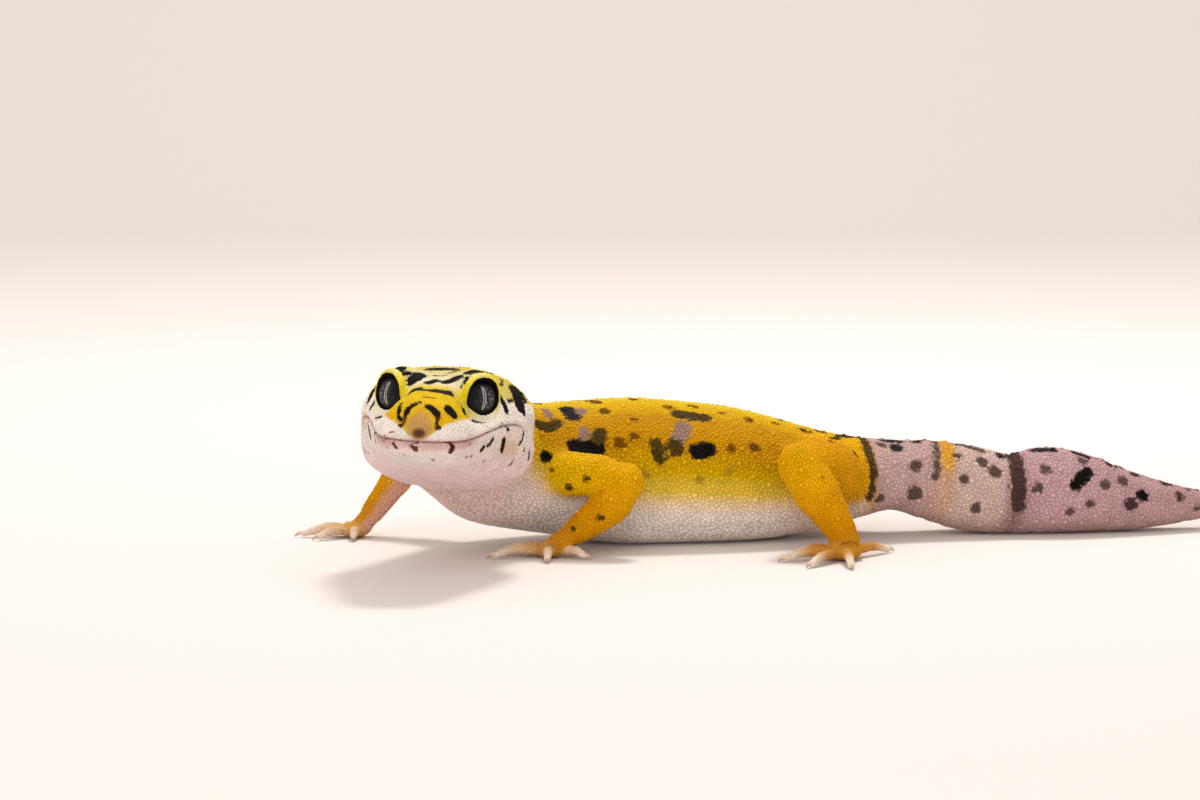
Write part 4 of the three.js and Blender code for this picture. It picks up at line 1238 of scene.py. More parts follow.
def body_ground(points, at, turn):
    """The colour of head, trunk and tail, for points with their stations and turns."""
    high = around(turn)
    head = head_ground(to_head(points), at, high)
    trunk = lay(ramp(high, NECK_RAMP), ramp(high, FLANK_RAMP), smooth_step(9.6, 12.0, at))
    trunk = lay(trunk, ramp(high, HIP_RAMP), smooth_step(16.8, 18.3, at))
    tail = lay(ramp(at, TAIL_RAMP), srgb("#c8a59c"), smooth_step(-15, -70, high) * 0.55)
    # the orange band is a saddle over the tail
    tail = lay(tail, srgb("#c8a598"), bump(at, 21.2, 0.3) * smooth_step(42, 8, high) * 0.85)
    whole = lay(trunk, tail, smooth_step(19.0, 19.3, at))
    return lay(head, whole, smooth_step(7.2, 8.8, at))


print("the flank's ramp has", len(FLANK_RAMP), "colours and the tail's", len(TAIL_RAMP))

# %% [markdown]
# ## Where a place is on the animal
# Colour, size of scales and the unwrap all ask where a point of the skin lies: its station and
# turn on the body, or how far down which leg. That is worked out once for every vertex of the
# skin, and scales take it over from the triangle that they grow on.

# %% Places on the legs and round the eyes
# where each line of a leg starts and how long it is, counted down the leg; the last is a toe
LEG_PARTS = [(0.0, 1.0), (1.0, 1.0), (1.6, 0.65), (2.25, 0.0), (1.0, 0.0), (2.3, 0.7)]


def leg_place(points):
    """For points: distance outside the nearest leg, its number, and how far down it: to 1 in the
    upper limb, to 2 in the lower one, to 3 at the tips of the toes."""
    nearest = np.full(len(points), NOT_NEAR)
    number, down = np.zeros(len(points), int), np.zeros(len(points))
    for leg_number, leg in enumerate(LEGS.values()):
        for part, (line, _) in enumerate(leg_lines(leg)):
            distance, share = from_line(points, line)
            start, length = LEG_PARTS[min(part, len(LEG_PARTS) - 1)]
            closer = distance < nearest
            nearest[closer], number[closer] = distance[closer], leg_number
            down[closer] = start + length * share[closer]
    return nearest, number, down


def round_eye(points, side):
    """Distance from an eye's centre, arc from its axis over the ball, and direction round it."""
    centre, axis, back, up = eye_frame(side)
    offset = points - centre
    distance = np.linalg.norm(offset, axis=1)
    arc = np.arccos(np.clip(offset @ axis / distance, -1, 1)) * EYE_RADIUS
    return distance, arc, np.arctan2(offset @ up, offset @ back)


LID_INK = 0.06  # width of the dark rim inside the lids
LID_SHARPNESS = 5.0  # how much crisper that rim is than the edge of a spot
BODY_SHARPNESS = 0.5  # spots on the body are more frayed than those on the head
FIRST_HIND_LEG = 2  # the legs' numbers: 0 and 1 are the fore legs, 2 and 3 the hind legs


def describe_marks(points, place):
    """Distance outside the nearest mark's edge, and its ink, for places on the skin."""
    on_leg = place["on_leg"] > 0.5
    edge, ink = mark_of(body_surface(place["at"], place["turn"]), STROKES)
    edge = np.where(on_leg, FAR, edge)
    leg_edge, leg_ink = mark_of(points, STROKES_ON_LEGS)
    nearer = (leg_edge < edge) & on_leg
    edge, ink = np.where(nearer, leg_edge, edge), np.where(nearer[:, None], leg_ink, ink)
    edge *= 1 - (1 - BODY_SHARPNESS) * np.maximum(smooth_step(7.5, 9.5, place["at"]), on_leg)
    for side in SIDES.values():
        distance, arc, direction = round_eye(points, side)
        rim = arc - opening_radius(direction) - LID_INK
        on_lid = (place["lid"] > 0.5) & (distance < EYE_RADIUS + 1.5)
        edge = np.where(on_lid, np.clip(rim * LID_SHARPNESS, -FAR, FAR), edge)
        ink = np.where(on_lid[:, None], INKS["ink"], ink)
    return edge, ink


def describe(points, normals):
    """Everything known of places on the skin, as a dictionary of arrays."""
    at, turn, outside = on_body(points)
    leg_distance, leg, down = leg_place(points)
    on_leg = smooth_step(-0.4, 1.4, outside - leg_distance) * (leg_distance < NOT_NEAR)
    colour = body_ground(points, at, turn)
    limb = ramp(down, LEG_RAMP)
    # the side of a limb that faces the body or the floor is pink
    inward = unit(body_frame(at)[0] - points)
    inner = smooth_step(0.15, 0.85, (inward * normals).sum(axis=1) - 0.35 * normals[:, 2])
    hind = leg >= FIRST_HIND_LEG
    limb = lay(limb, srgb("#d89400"), hind * (1 - smooth_step(0.6, 1.2, down)) * 0.85)
    hind_foot = hind * smooth_step(2.1, 2.3, down) * (1 - smooth_step(2.55, 2.85, down))
    limb = lay(limb, srgb("#cf8a20"), hind_foot * 0.85)
    limb = lay(limb, srgb("#e2aca0"), inner * (1 - smooth_step(2.0, 2.4, down)) * 0.85)
    colour = lay(colour, limb, on_leg)
    lid, bare = np.zeros(len(points)), np.zeros(len(points), bool)
    for side in SIDES.values():
        distance, arc, direction = round_eye(points, side)
        beyond = arc - opening_radius(direction)
        band = 1 - smooth_step(0.0, 0.15, beyond - 2.0 * lid_sizes(direction)[0])
        band *= distance < EYE_RADIUS + 1.3
        colour = lay(colour, ramp(np.degrees(direction), LID_RAMP), band)
        lid = np.maximum(lid, band)
        bare |= (distance < EYE_RADIUS + 0.09) | ((band > 0.5) & (beyond < 0.05))
    place = {"at": at, "turn": turn, "leg": leg, "down": down, "on_leg": on_leg, "colour": colour,
             "lid": lid, "bare": bare}
    place["edge"], place["ink"] = describe_marks(points, place)
    return place


skin_points, skin_normals = points_of(body.data), normals_of(body.data)
skin_place = describe(skin_points, skin_normals)
print("dark share of the skin:", (skin_place["edge"] < 0).mean().round(3))


def keep_colours(mesh, place, rise, repeat=1):
    """Stores the ground colour, the ink, the distance to a mark's edge and the rise of a mesh; the material
    paints shade between scales where the rise is low.
    """
    for name, values in (("ground", place["colour"]), ("ink", place["ink"])):
        full = np.hstack([values, np.ones((len(values), 1))])
        store(mesh, name, "FLOAT_COLOR", "color", np.repeat(full, repeat, axis=0))
    store(mesh, "edge", "FLOAT", "value", np.repeat(place["edge"], repeat))
    store(mesh, "rise", "FLOAT", "value", rise)


# the bare skin has rise 0, so the material paints on it the full shade of the gaps between scales
keep_colours(body.data, skin_place, np.zeros(len(skin_points)))

# %% [markdown]
# ## The skin's finish
# Skin and scales share one material. It reads the ground colour and the ink from the surface,
# lets a little noise fray the edge of each mark, and paints shade into the gaps between scales:
# the bare skin and the foot of each scale are darker, the top of a scale a touch lighter. Living
# skin of this kind is dull, so it is rough with only a faint gloss.

# %% Materials
def new_material(name, finish):
    """A material of one principled shader. finish gives the inputs that are even all over it."""
    material = bpy.data.materials.new(name)
    material.use_nodes = True
    shader = material.node_tree.nodes["Principled BSDF"]
    for key, value in finish.items():
        shader.inputs[key].default_value = value
    return material, material.node_tree, shader


def add(tree, kind, settings=None, **inputs):
    """The outputs of a new shader node of a kind, with settings of its own and inputs that are
    values or other sockets. An input is given by its name, or its number after the letter i."""
    node = tree.nodes.new("ShaderNode" + kind)
    for key, value in (settings or {}).items():
        setattr(node, key, value)
    for key, value in inputs.items():
        socket = node.inputs[int(key[1:])] if key[0] == "i" and key[1:].isdigit() else node.inputs[key]
        if isinstance(value, bpy.types.NodeSocket):
            tree.links.new(value, socket)
        else:
            socket.default_value = value
    return node.outputs


def opaque(code):
    """A colour written as six hexadecimal digits, as four linear values for a socket."""
    return (*srgb(code), 1.0)


PER_MM = 1000.0  # noise scales count waves in a metre
MIX = {"data_type": "RGBA", "blend_type": "MIX"}
SMOOTH = {"interpolation_type": "SMOOTHSTEP"}
TIMES = {"operation": "MULTIPLY"}


def skin_material(name, depth):
    """The scaly skin. depth is how dark the shade painted into the gaps between scales is."""
    material, tree, shader = new_material(name, {
        "Roughness": 0.65, "Specular IOR Level": 0.06, "Subsurface Weight": 0.08,
        "Subsurface Radius": (1.0, 0.45, 0.3), "Subsurface Scale": 0.0006})
    spot = add(tree, "TexCoord")["Object"]
    read = {key: add(tree, "Attribute", {"attribute_name": key})
            for key in ("ground", "ink", "edge", "rise")}
    fray = add(tree, "TexNoise", i0=spot, Scale=1.5 * PER_MM, Detail=3.0)["Fac"]
    # a mark's edge moves by up to a quarter of a millimetre either way
    shift = add(tree, "Math", {"operation": "MULTIPLY_ADD"}, i0=fray, i1=0.5, i2=-0.25)[0]
    edge = add(tree, "Math", {"operation": "ADD"}, i0=read["edge"]["Fac"], i1=shift)[0]
    dark = add(tree, "MapRange", SMOOTH,
               i0=edge, i1=-0.10, i2=0.12, i3=1.0, i4=0.0)[0]
    blotch = add(tree, "TexNoise", i0=spot, Scale=0.55 * PER_MM, Detail=3.0)["Fac"]
    grain = add(tree, "TexNoise", i0=spot, Scale=3.4 * PER_MM, Detail=1.0)["Fac"]
    tone = add(tree, "MapRange", i0=blotch, i1=0.3, i2=0.7, i3=0.90, i4=1.08)[0]
    fine = add(tree, "MapRange", i0=grain, i1=0.3, i2=0.7, i3=0.93, i4=1.06)[0]
    both = add(tree, "Math", TIMES, i0=tone, i1=fine)[0]
    # painted shade between scales: darker where rise is low, on the bare skin and at the foot of each scale,
    # and a touch lighter on the tops
    gap = add(tree, "MapRange", i0=read["rise"]["Fac"],
              i1=0.0, i2=1.0, i3=1.0 - depth, i4=1.03)[0]
    light = add(tree, "Math", TIMES, i0=both, i1=gap)[0]
    mixed = add(tree, "Mix", MIX, i0=dark, i6=read["ground"]["Color"],
                i7=read["ink"]["Color"])[2]
    toned = add(tree, "VectorMath", {"operation": "SCALE"}, i0=mixed, Scale=light)[0]
    tree.links.new(toned, shader.inputs["Base Color"])
    pores = add(tree, "TexNoise", i0=spot, Scale=9.0 * PER_MM, Detail=2.0)["Fac"]
    bumps = add(tree, "Bump", Strength=0.25, Distance=0.00004, Height=pores)[0]
    tree.links.new(bumps, shader.inputs["Normal"])
    return material


body.data.materials.clear()
# the gaps between scales are painted 30 per cent darker, as shade
body.data.materials.append(skin_material("gecko_skin", depth=0.30))
print("material:", body.data.materials[0].name)

# %% [markdown]
# ## The eyes' finish
# The iris is silver, finely veined with black, and darker towards the snout. The pupil is an
# upright slit with a scalloped edge, pale in itself and painted near white, most towards the
# rear, as the wet eye's highlight. Round the iris the ball is black; this black ring is partly
# the ball's own dark rim and partly painted shadow of the lids. All of this lies under a clear
# wet cornea, which the shader's coat gives. The iris could be cut as a dish behind a separate
# lens. At three millimetres the difference can't be seen, and one ball bakes cleanly.

# %% The eye's material
SLIT_HALF_WIDTH, SLIT_HALF_LENGTH = 0.10, 1.32
SLIT_BOW = 0.13  # how far the slit bows forward, for each square mm above or below its middle
SCALLOP_TURNS, SCALLOP_DEPTH = 11.0, 0.018  # radians for each mm of the slit's length, and mm
# the black rim starts inside the iris's own edge: part of it is painted shadow of the lids
IRIS_RADIUS, IRIS_FADE = 1.50, 0.32


def eye_material():
    """Slit, bright edges with a painted highlight, veined iris and a black rim that is partly painted shadow
    of the lids, from the place in the iris in mm.
    """
    material, tree, shader = new_material("gecko_eye", {
        "Roughness": 0.45, "Specular IOR Level": 0.05, "Coat Weight": 0.25, "Coat Roughness": 0.03})
    place = add(tree, "Attribute", {"attribute_name": "iris_place"})["Vector"]
    parts = add(tree, "SeparateXYZ", i0=place)
    back, up, arc = parts[0], parts[1], parts[2]
    # scallops: a wave along the slit's edges
    phase = add(tree, "Math", TIMES, i0=up, i1=SCALLOP_TURNS)[0]
    wave = add(tree, "Math", {"operation": "SINE"}, i0=phase)[0]
    wobble = add(tree, "Math", TIMES, i0=wave, i1=SCALLOP_DEPTH)[0]
    # the distance from the slit's bowed middle line
    level = add(tree, "Math", {"operation": "ABSOLUTE"}, i0=up)[0]
    level_squared = add(tree, "Math", {"operation": "POWER"}, i0=level, i1=2.0)[0]
    bow = add(tree, "Math", TIMES, i0=level_squared, i1=-SLIT_BOW)[0]
    centre = add(tree, "Math", {"operation": "SUBTRACT"}, i0=back, i1=bow)[0]
    across = add(tree, "Math", {"operation": "ABSOLUTE"}, i0=centre)[0]
    # the slit's half width there: an ellipse, with the scallops on it
    length = add(tree, "Math", {"operation": "DIVIDE"}, i0=up, i1=SLIT_HALF_LENGTH)[0]
    square = add(tree, "Math", TIMES, i0=length, i1=length)[0]
    taper = add(tree, "Math", {"operation": "MULTIPLY_ADD", "use_clamp": True},
                i0=square, i1=-1.0, i2=1.0)[0]
    root = add(tree, "Math", {"operation": "SQRT"}, i0=taper)[0]
    half = add(tree, "Math", TIMES, i0=root, i1=SLIT_HALF_WIDTH)[0]
    reach = add(tree, "Math", {"operation": "ADD"}, i0=half, i1=wobble)[0]
    outside = add(tree, "Math", {"operation": "SUBTRACT"}, i0=across, i1=reach)[0]
    pupil = add(tree, "MapRange", SMOOTH, i0=outside, i1=-0.02, i2=0.02, i3=1.0, i4=0.0)[0]
    inner = add(tree, "MapRange", SMOOTH, i0=outside, i1=0.015, i2=0.10, i3=1.0, i4=0.0)[0]
    # veins run outward from the slit, so the noise is stretched across it
    stretched = add(tree, "VectorMath", TIMES, i0=place, i1=(2.6, 7.0, 0.0))[0]
    veins = add(tree, "TexNoise", i0=stretched, Scale=1.0, Detail=5.0, Roughness=0.65,
                Distortion=1.2)["Fac"]
    sharp = add(tree, "MapRange", i0=veins, i1=0.49, i2=0.66, i3=0.0, i4=1.0)[0]
    rear = add(tree, "MapRange", i0=back, i1=-0.9, i2=0.3, i3=0.0, i4=1.0)[0]
    silver = add(tree, "Mix", MIX, i0=rear, i6=opaque("#2c3128"), i7=opaque("#86838b"))[2]
    iris = add(tree, "Mix", MIX, i0=sharp, i6=opaque("#070708"), i7=silver)[2]
    # the slit's pale edge, painted near white towards the rear as the wet eye's highlight
    bright = add(tree, "Mix", MIX, i0=rear, i6=opaque("#97947f"), i7=opaque("#f0ece0"))[2]
    edged = add(tree, "Mix", MIX, i0=inner, i6=iris, i7=bright)[2]
    # the black ring round the iris: the ball's dark rim, widened as painted shadow of the lids
    rim = add(tree, "MapRange", SMOOTH,
              i0=arc, i1=IRIS_RADIUS - IRIS_FADE, i2=IRIS_RADIUS, i3=0.0, i4=1.0)[0]
    slit = add(tree, "Mix", MIX, i0=pupil, i6=edged, i7=opaque("#020202"))[2]
    colour = add(tree, "Mix", MIX, i0=rim, i6=slit, i7=opaque("#060505"))[2]
    tree.links.new(colour, shader.inputs["Base Color"])
    return material


EYE_FINISH = eye_material()
for eye in eyes.values():
    eye.data.materials.append(EYE_FINISH)
print("material:", EYE_FINISH.name, "with", len(EYE_FINISH.node_tree.nodes), "nodes")

# %% [markdown]
# ## The claws' finish
# The claws are horn: pale and slightly clear at the root and brown at the tip.

# %% The claws' material
def claw_material():
    """Horn whose colour goes from root to tip along the claw, moved a little by noise."""
    material, tree, shader = new_material("gecko_claw", {"Roughness": 0.35})
    along = add(tree, "Attribute", {"attribute_name": "along"})["Fac"]
    spot = add(tree, "TexCoord")["Object"]
    grain = add(tree, "TexNoise", i0=spot, Scale=5.0 * PER_MM, Detail=2.0)["Fac"]
    moved = add(tree, "Math", {"operation": "MULTIPLY_ADD"}, i0=grain, i1=0.2, i2=along)[0]
    tip = add(tree, "MapRange", i0=moved, i1=0.45, i2=1.0, i3=0.0, i4=1.0)[0]
    colour = add(tree, "Mix", MIX, i0=tip, i6=opaque("#d9b899"), i7=opaque("#4a2f22"))[2]
    tree.links.new(colour, shader.inputs["Base Color"])
    return material


CLAW_FINISH = claw_material()
for claw in claws.values():
    claw.data.materials.append(CLAW_FINISH)
print("materials:", sorted(material.name for material in bpy.data.materials))

# %% [markdown]
# ## Scales
# The skin is covered with small granular scales, 0.2 to 0.6 mm wide, that do not overlap like a
# snake's but sit side by side like pebbles. They could be a bump in the material, but bumps leave
# the outline smooth, so each scale is a small dome of real mesh. To place them, points are strewn
# over the skin at random, and of any two that lie too close only one is kept. What is left is
# evenly spread and has no rows, as on the animal.

# %% Strewing places over the skin
def triangle_corners(mesh):
    """The three vertex numbers of each triangle of a mesh."""
    mesh.calc_loop_triangles()
    return read_all(mesh.loop_triangles, "vertices", 3, np.int32)


def strew(triangles, points, gap, bare, crowd):
    """Random places on triangles, crowd of them for each square of one gap. A place is three
    corners and their shares, drawn so that equal areas get equal numbers."""
    a, b, c = (points[triangles[:, k]] for k in range(3))
    area = np.linalg.norm(np.cross(b - a, c - a), axis=1) / 2
    weight = area / gap[triangles].mean(axis=1) ** 2 * ~bare[triangles].any(axis=1)
    chosen = rng.choice(len(triangles), int(crowd * weight.sum()), p=weight / weight.sum())
    u, v = rng.random((2, len(chosen)))
    over = u + v > 1
    u, v = np.where(over, 1 - u, u), np.where(over, 1 - v, v)
    return triangles[chosen], np.stack([1 - u - v, u, v], axis=1)


def carry(values, corners, shares):
    """Values of the skin's vertices at places on its triangles."""
    return np.einsum("ij,ij...->i...", shares, values[corners])


def close_pairs(places, gap):
    """Pairs of places nearer than the smaller of their gaps, the first with the lower number.
    Places are sorted into cubic cells as wide as the largest gap, so that only places in
    neighbouring cells have to be compared."""
    cell = np.floor((places - places.min(axis=0)) / gap.max()).astype(np.int64) + 1
    span = cell.max(axis=0) + 2
    code = (cell[:, 0] * span[1] + cell[:, 1]) * span[2] + cell[:, 2]
    order = np.argsort(code, kind="stable")
    firsts, seconds = [], []
    for step in np.ndindex(3, 3, 3):
        shift = ((step[0] - 1) * span[1] + step[1] - 1) * span[2] + step[2] - 1
        start = np.searchsorted(code[order], code + shift, "left")
        count = np.searchsorted(code[order], code + shift, "right") - start
        first = np.repeat(np.arange(len(places)), count)
        within = np.arange(count.sum()) - np.repeat(np.cumsum(count) - count, count)
        second = order[np.repeat(start, count) + within]
        first, second = first[first < second], second[first < second]
        apart = np.linalg.norm(places[first] - places[second], axis=1)
        near = apart < np.minimum(gap[first], gap[second])
        firsts.append(first[near])
        seconds.append(second[near])
    return np.concatenate(firsts), np.concatenate(seconds)


def spaced(places, gap):
    """The numbers of the places that are kept. In every round a place is kept if no undecided
    place with a lower number is near, and the places near to a kept one are dropped."""
    first, second = close_pairs(places, gap)
    undecided, kept = np.ones(len(places), bool), np.zeros(len(places), bool)
    while undecided.any():
        live = undecided[first] & undecided[second]
        first, second = first[live], second[live]
        blocked = np.zeros(len(places), bool)
        blocked[second] = True
        now = undecided & ~blocked
        kept |= now
        undecided &= blocked
        dropped = np.concatenate([second[now[first]], first[now[second]]])
        undecided[dropped] = False
    return np.flatnonzero(kept)


skin_triangles = triangle_corners(body.data)
print("triangles to strew on:", len(skin_triangles))

# %% [markdown]
# ## How large the scales are
# The finest scales are on the eyelids, lips and toes, and the largest lie flat on the belly. On
# the back, the flanks, the legs and the tail stand round tubercles, up to 0.8 mm wide, which
# give the animal its rough look.

# %% Sizes over the body
def scale_gaps(place):
    """Distance between scales, in mm, at places on the skin."""
    at, down = place["at"], place["down"]
    gap = np.interp(at, [0, 1.0, 4.0, 8.0, 10.0, 19.0, 24.0, 28.0, 31.0],
                    [0.20, 0.22, 0.26, 0.32, 0.38, 0.38, 0.40, 0.32, 0.20])
    under = smooth_step(-0.25, -0.7, np.sin(place["turn"])) * smooth_step(8.0, 10.0, at)
    gap += 0.12 * under * (at < 19)
    leg_gap = np.interp(down, [0.0, 1.0, 2.0, 2.4, 3.0], [0.36, 0.33, 0.28, 0.23, 0.19])
    gap += (leg_gap - gap) * place["on_leg"]
    return gap + (0.16 - gap) * place["lid"]


def tangents_for(place, normals):
    """The way the coat lies: along the body towards the tail, down a leg towards the toes. A
    slight push aside keeps it from vanishing where the skin faces that way."""
    along = body_frame(place["at"])[3]
    way = along + (-Z - along) * place["on_leg"][:, None] + [1e-3, 2e-3, 0.0]
    way -= (way * normals).sum(axis=1, keepdims=True) * normals
    return unit(way)


FULL_TURN = 2 * math.pi
LEG_STRIP = 0.25  # each leg has a quarter of the lower strip of the unwrap


def unwrap(place, points):
    """A place's spot on the unwrap: along the body across it and round the body up it. The legs
    lie side by side in a strip below."""
    round_body = np.mod(place["turn"] + math.pi / 2, FULL_TURN) / FULL_TURN
    body_uv = np.stack([0.01 + 0.98 * place["at"] / LAST, 0.31 + 0.68 * round_body], axis=1)
    centre = body_frame(place["at"])[0]
    leg_turn = np.arctan2(points[:, 2] - centre[:, 2], points[:, 1] - centre[:, 1])
    leg_uv = np.stack([0.01 + LEG_STRIP * (place["leg"] + 0.94 * place["down"] / 3),
                       0.01 + 0.27 * (leg_turn + math.pi) / FULL_TURN], axis=1)
    return np.where(place["on_leg"][:, None] > 0.5, leg_uv, body_uv)


FIELDS = ("at", "turn", "leg", "down", "on_leg", "colour", "edge", "ink", "lid", "bare")


def chosen_places(place, keep):
    """The descriptions of some of the places."""
    return {key: place[key][keep] for key in FIELDS}


print("the unwrap has", len(LEGS), "legs side by side below the body")

# %% The shape of a dome
def dome_shape(sides, profile):
    """A closed dome of unit size: a ring of vertices for each width and height of the profile,
    one vertex on top, and a flat base of quads that fan out from its first vertex."""
    rings = len(profile)
    turn = full_turn(sides)
    wide, high = np.array(profile).T[:, :, None]
    shape = np.stack([np.cos(turn) * wide, np.sin(turn) * wide, high + 0 * turn], axis=-1)
    shape = np.vstack([shape.reshape(-1, 3), [0.0, 0.0, 1.0]])
    index = np.arange(sides * rings).reshape(rings, sides)
    turned = np.roll(index, -1, axis=1)
    walls = np.stack([index[:-1], turned[:-1], turned[1:], index[1:]], axis=-1).reshape(-1, 4)
    half = np.arange(1, sides - 2, 2)
    base = np.stack([0 * half, half + 2, half + 1, half], axis=1)
    top = np.stack([index[-1], turned[-1], np.full(sides, len(shape) - 1)], axis=1)
    return shape, np.vstack([walls, base]), top


TUBERCLE_SHAPE = dome_shape(10, [(1.0, -0.35), (0.88, 0.22), (0.62, 0.66), (0.3, 0.92)])
SCALE_SHAPE = dome_shape(6, [(1.0, -0.5), (0.74, 0.62)])
print("vertices of a tubercle and a scale:", len(TUBERCLE_SHAPE[0]), len(SCALE_SHAPE[0]))

# %% Many domes in a few meshes
PATCH = 0.0015  # half the width of a scale's patch on the unwrap
LEAN = 0.12  # how far the top of a dome lies back, as a share of the dome's half length
MOST_TRIANGLES = 190000  # in one piece


def unwrap_domes(piece, spots):
    """Gives each corner of a piece its spot on the unwrap, from the spots of its vertices."""
    corners = read_all(piece.data.loops, "vertex_index", 1, np.int32)[:, 0]
    layer = piece.data.uv_layers.new(name="OFBake")
    layer.data.foreach_set("uv", spots.reshape(-1, 2)[corners].astype(np.float32).ravel())


def domes(name, roots, normals, place, sizes, dome):
    """Closed domes on the skin, split into pieces. A vertex lies at root + way * length +
    side * width + normal * height. sizes are half the length, half the width and the height in
    mm, and nothing goes through the floor."""
    shape, quads, top = dome
    triangles_each = 2 * len(quads) + len(top)
    way = tangents_for(place, normals)
    side = np.cross(normals, way)
    parts = np.array_split(np.arange(len(roots)), 1 + len(roots) * triangles_each // MOST_TRIANGLES)
    pieces = []
    for number, part in enumerate(parts):
        long, wide, high = (sizes[part, k, None, None] for k in range(3))
        points = roots[part, None] + way[part, None] * (shape[:, :1] + LEAN * shape[:, 2:]) * long
        points = points + side[part, None] * shape[:, 1:2] * wide
        points = points + normals[part, None] * shape[:, 2:] * high
        points[..., 2] = np.maximum(points[..., 2], 0.0)
        offset = (np.arange(len(part)) * len(shape))[:, None, None]
        piece = new_object(f"{name}_{number + 1}", points.reshape(-1, 3),
                           (quads + offset).reshape(-1, 4), (top + offset).reshape(-1, 3))
        chosen = chosen_places(place, part)
        # the height on each dome, from 0 at its foot to 1 at its top; the material paints shade where it is
        # low
        rise = np.tile(np.clip(shape[:, 2], 0, 1), len(part))
        keep_colours(piece.data, chosen, rise, len(shape))
        unwrap_domes(piece, unwrap(chosen, roots[part])[:, None] + PATCH * shape[:, :2])
        piece.data.materials.append(body.data.materials[0])
        pieces.append(piece)
    print(f"{name}: {len(roots)} domes, {len(roots) * triangles_each} triangles, {len(pieces)} pieces")
    return pieces


# %% Tubercles
def rounded_places(corners, shares):
    """Root points, unit normals and descriptions of places on the skin."""
    roots = carry(skin_points, corners, shares)
    normals = unit(carry(skin_normals, corners, shares))
    place = {key: carry(skin_place[key].astype(float), corners, shares) for key in FIELDS}
    place["turn"] = np.arctan2(carry(np.sin(skin_place["turn"]), corners, shares),
                               carry(np.cos(skin_place["turn"]), corners, shares))
    place["leg"] = skin_place["leg"][corners[:, 0]]
    place["bare"] = skin_place["bare"][corners].any(axis=1)
    return roots, normals, place


def tubercle_gaps(place, normals):
    """Distance between tubercles, and where there are none."""
    at = place["at"]
    gap = np.interp(at, [5.0, 8.0, 10.0, 19.0, 24.0, 30.0], [1.3, 1.5, 1.6, 1.6, 1.5, 1.0])
    gap += (1.6 - gap) * place["on_leg"]
    high = np.sin(place["turn"])
    on_leg, down = place["on_leg"] > 0.5, place["down"]
    none = (at < 5.2) | ((high < np.where(at > 19.3, -0.75, -0.12)) & (place["on_leg"] < 0.5))
    none |= on_leg & ((down > 1.75) | (normals[:, 2] < -0.15) | (down < 0.15))
    none |= (at < 8.0) & (high < 0.12)
    return gap, none | (place["lid"] > 0) | (at > 30.4)


gap, none = tubercle_gaps(skin_place, skin_normals)
corners, shares = strew(skin_triangles, skin_points, gap, none | skin_place["bare"], crowd=5)
kept = spaced(carry(skin_points, corners, shares), carry(gap, corners, shares))
tubercle_roots, tubercle_normals, tubercle_place = rounded_places(corners[kept], shares[kept])
size = np.interp(tubercle_place["at"], [5.0, 9.0, 24.0, 30.0], [0.25, 0.34, 0.34, 0.22])
size = (size + (0.30 - size) * tubercle_place["on_leg"]) * rng.uniform(0.85, 1.15, len(size))
tubercles = domes("tubercles", tubercle_roots, tubercle_normals, tubercle_place,
                  np.stack([1.08 * size, size, 0.55 * size], axis=1), TUBERCLE_SHAPE)

# %% Room for the tubercles
BESIDE = 0.12  # mm: a scale's middle stays this far outside a tubercle's foot
FARTHEST = 0.62  # mm: more than the reach of any tubercle


def clear_of_tubercles(places):
    """True for the places where no tubercle stands."""
    together = np.vstack([tubercle_roots, places])
    reach = np.concatenate([size + BESIDE, np.full(len(places), FARTHEST)])
    first, second = close_pairs(together, reach)
    mixed = (first < len(size)) & (second >= len(size))
    apart = np.linalg.norm(together[first] - together[second], axis=1)
    covered = np.zeros(len(together), bool)
    covered[second[mixed & (apart < reach[first])]] = True
    return ~covered[len(size):]


gap = scale_gaps(skin_place)
corners, shares = strew(skin_triangles, skin_points, gap, skin_place["bare"], crowd=7)
kept = spaced(carry(skin_points, corners, shares), carry(gap, corners, shares))
corners, shares = corners[kept], shares[kept]
clear = clear_of_tubercles(carry(skin_points, corners, shares))
corners, shares = corners[clear], shares[clear]
print("places with a scale:", len(corners), "and left out beside tubercles:", (~clear).sum())

# %% Granular scales
scale_roots, scale_normals, scale_place = rounded_places(corners, shares)
scale_place["edge"], scale_place["ink"] = describe_marks(scale_roots, scale_place)
width = carry(gap, corners, shares) * rng.uniform(0.56, 0.66, len(scale_roots))
flat_under = smooth_step(-0.1, -0.6, np.sin(scale_place["turn"])) * (1 - scale_place["on_leg"])
on_face = (1 - smooth_step(6.5, 9.0, scale_place["at"])) * (1 - scale_place["on_leg"])
height = width * 0.38 * (1 - 0.5 * flat_under) * (1 - 0.3 * on_face)
scales = domes("scales", scale_roots, scale_normals, scale_place,
               np.stack([1.05 * width, width, height], axis=1), SCALE_SHAPE)
coat = tubercles + scales
print("widths in mm:", (2 * np.percentile(width, [1, 50, 99])).round(2), "and", (2 * size.max()).round(2))

# %% [markdown]
# ## What each piece stands for
# The solids name a head, a trunk, a tail and the parts of the legs. One skin takes the place of
# all of them, so there is no seam between them. The eyes take the place of the solids' eyes.
# Claws and scales stand for no solid of their own. Nothing moves, so everything rides the root.

# %% Riding the root
CAD_FLESH = [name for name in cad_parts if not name.startswith("eye")]
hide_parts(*CAD_FLESH)
for name, eye in eyes.items():
    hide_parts("eye_" + name)
    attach(eye, "root")
for piece in [body, *claws.values(), *coat]:
    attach(piece, "root")


def triangles_of(thing):
    """How many triangles a mesh object makes."""
    thing.data.calc_loop_triangles()
    return len(thing.data.loop_triangles)


counts = {thing.name: triangles_of(thing) for thing in [body, *eyes.values(), *claws.values(), *coat]}
print("triangles:", counts, "in all", sum(counts.values()))

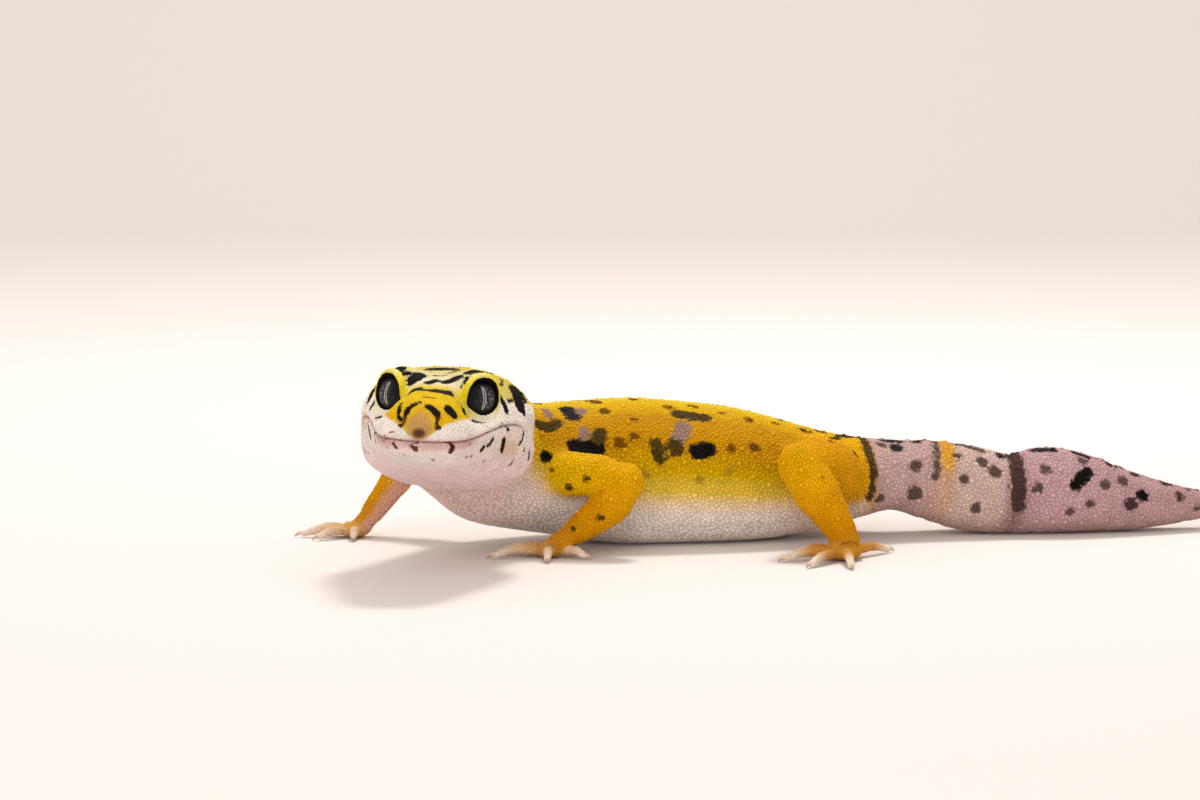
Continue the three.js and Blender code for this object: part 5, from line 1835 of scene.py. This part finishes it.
# %% [markdown]
# ## Floor, lights and camera
# A pale sweep stands in for the table: a floor that bends up into a wall far behind the animal,
# so no line shows where they meet. A lamp over and behind the animal casts the soft shadow of
# its head forward, and a broad pale sky fills in the rest, as under a light tent. Of two weaker
# lamps, one brightens the wall and one the animal's face.

# %% The floor
SWEEP_BACK, SWEEP_RADIUS, SWEEP_TOP = 700.0, 500.0, 1500.0


def sweep_grid():
    """A floor, a quarter circle and a wall, as rows of points from front to back."""
    bend = np.linspace(0, math.pi / 2, 40)
    depth = np.concatenate([[-1200.0], SWEEP_BACK + SWEEP_RADIUS * np.sin(bend), [SWEEP_BACK + SWEEP_RADIUS]])
    height = np.concatenate([[0.0], SWEEP_RADIUS * (1 - np.cos(bend)), [SWEEP_TOP]])
    across = np.linspace(-1800.0, 1800.0, 12)
    return np.stack(np.broadcast_arrays(across[None, :], depth[:, None], height[:, None]), axis=-1)


def open_grid(points):
    """Vertices and faces of a grid that has four edges."""
    rows, columns = points.shape[:2]
    index = np.arange(rows * columns).reshape(rows, columns)
    quads = np.stack([index[:-1, :-1], index[:-1, 1:], index[1:, 1:], index[1:, :-1]], axis=-1)
    return points.reshape(-1, 3), quads.reshape(-1, 4), np.zeros((0, 3), int)


floor = new_object("floor", *open_grid(sweep_grid()))
paper, tree, shader = new_material("floor_paper", {"Roughness": 0.8, "Specular IOR Level": 0.2})
spot = add(tree, "TexCoord")["Object"]
fibre = add(tree, "TexNoise", i0=spot, Scale=1.2 * PER_MM, Detail=3.0)["Fac"]
shade = add(tree, "Mix", MIX, i0=fibre, i6=opaque("#dcd5d2"), i7=opaque("#e1dad7"))[2]
tree.links.new(shade, shader.inputs["Base Color"])
floor.data.materials.append(paper)
print("floor:", len(floor.data.polygons), "faces, material", paper.name)

# %% Camera and sky
LENS, SENSOR = 101.4, 36.0  # mm
CAMERA_AT = np.array([0.0, -380.0, 60.1])
CAMERA_DIP = 5.96  # degrees below the level

scene = bpy.context.scene
camera = bpy.data.objects.new("camera", bpy.data.cameras.new("camera"))
camera.data.lens = LENS
camera.data.sensor_width = SENSOR
camera.data.clip_start = 0.01
camera.location = in_metres(CAMERA_AT)
camera.rotation_euler = (math.radians(90 - CAMERA_DIP), 0.0, 0.0)
scene.collection.objects.link(camera)
scene.camera = camera

sky = bpy.data.worlds.new("studio")
sky.use_nodes = True
sky.node_tree.nodes["Background"].inputs[0].default_value = (1.0, 0.955, 0.915, 1.0)
sky.node_tree.nodes["Background"].inputs[1].default_value = 0.76
scene.world = sky
scene.view_settings.view_transform = "Standard"
print("camera at", np.round(camera.location, 3), "with a lens of", LENS, "mm")


# %% Lamps
def lamp(name, place, target, size, power, colour=(1.0, 1.0, 1.0)):
    """A round area lamp at a place in mm, turned to face a target."""
    light = bpy.data.lights.new(name, "AREA")
    light.shape, light.size, light.energy, light.color = "DISK", size, power, colour
    thing = bpy.data.objects.new(name, light)
    thing.location = in_metres(place)
    toward = Vector(np.subtract(target, place).tolist())
    thing.rotation_euler = toward.to_track_quat("-Z", "Y").to_euler()
    scene.collection.objects.link(thing)
    return thing


lamp("key", (60, 190, 430), (0, 20, 0), 0.10, 1.25, (1.0, 0.97, 0.93))
lamp("wall", (0, 300, 900), (0, 1200, 500), 0.8, 4.7, (1.0, 0.96, 0.93))
# the eyes are wet, and would mirror this lamp as a disc
lamp("fill", (-120, -420, 200), (0, 10, 8), 0.5, 1.3).visible_glossy = False
print("lamps:", [light.name for light in bpy.data.lights])
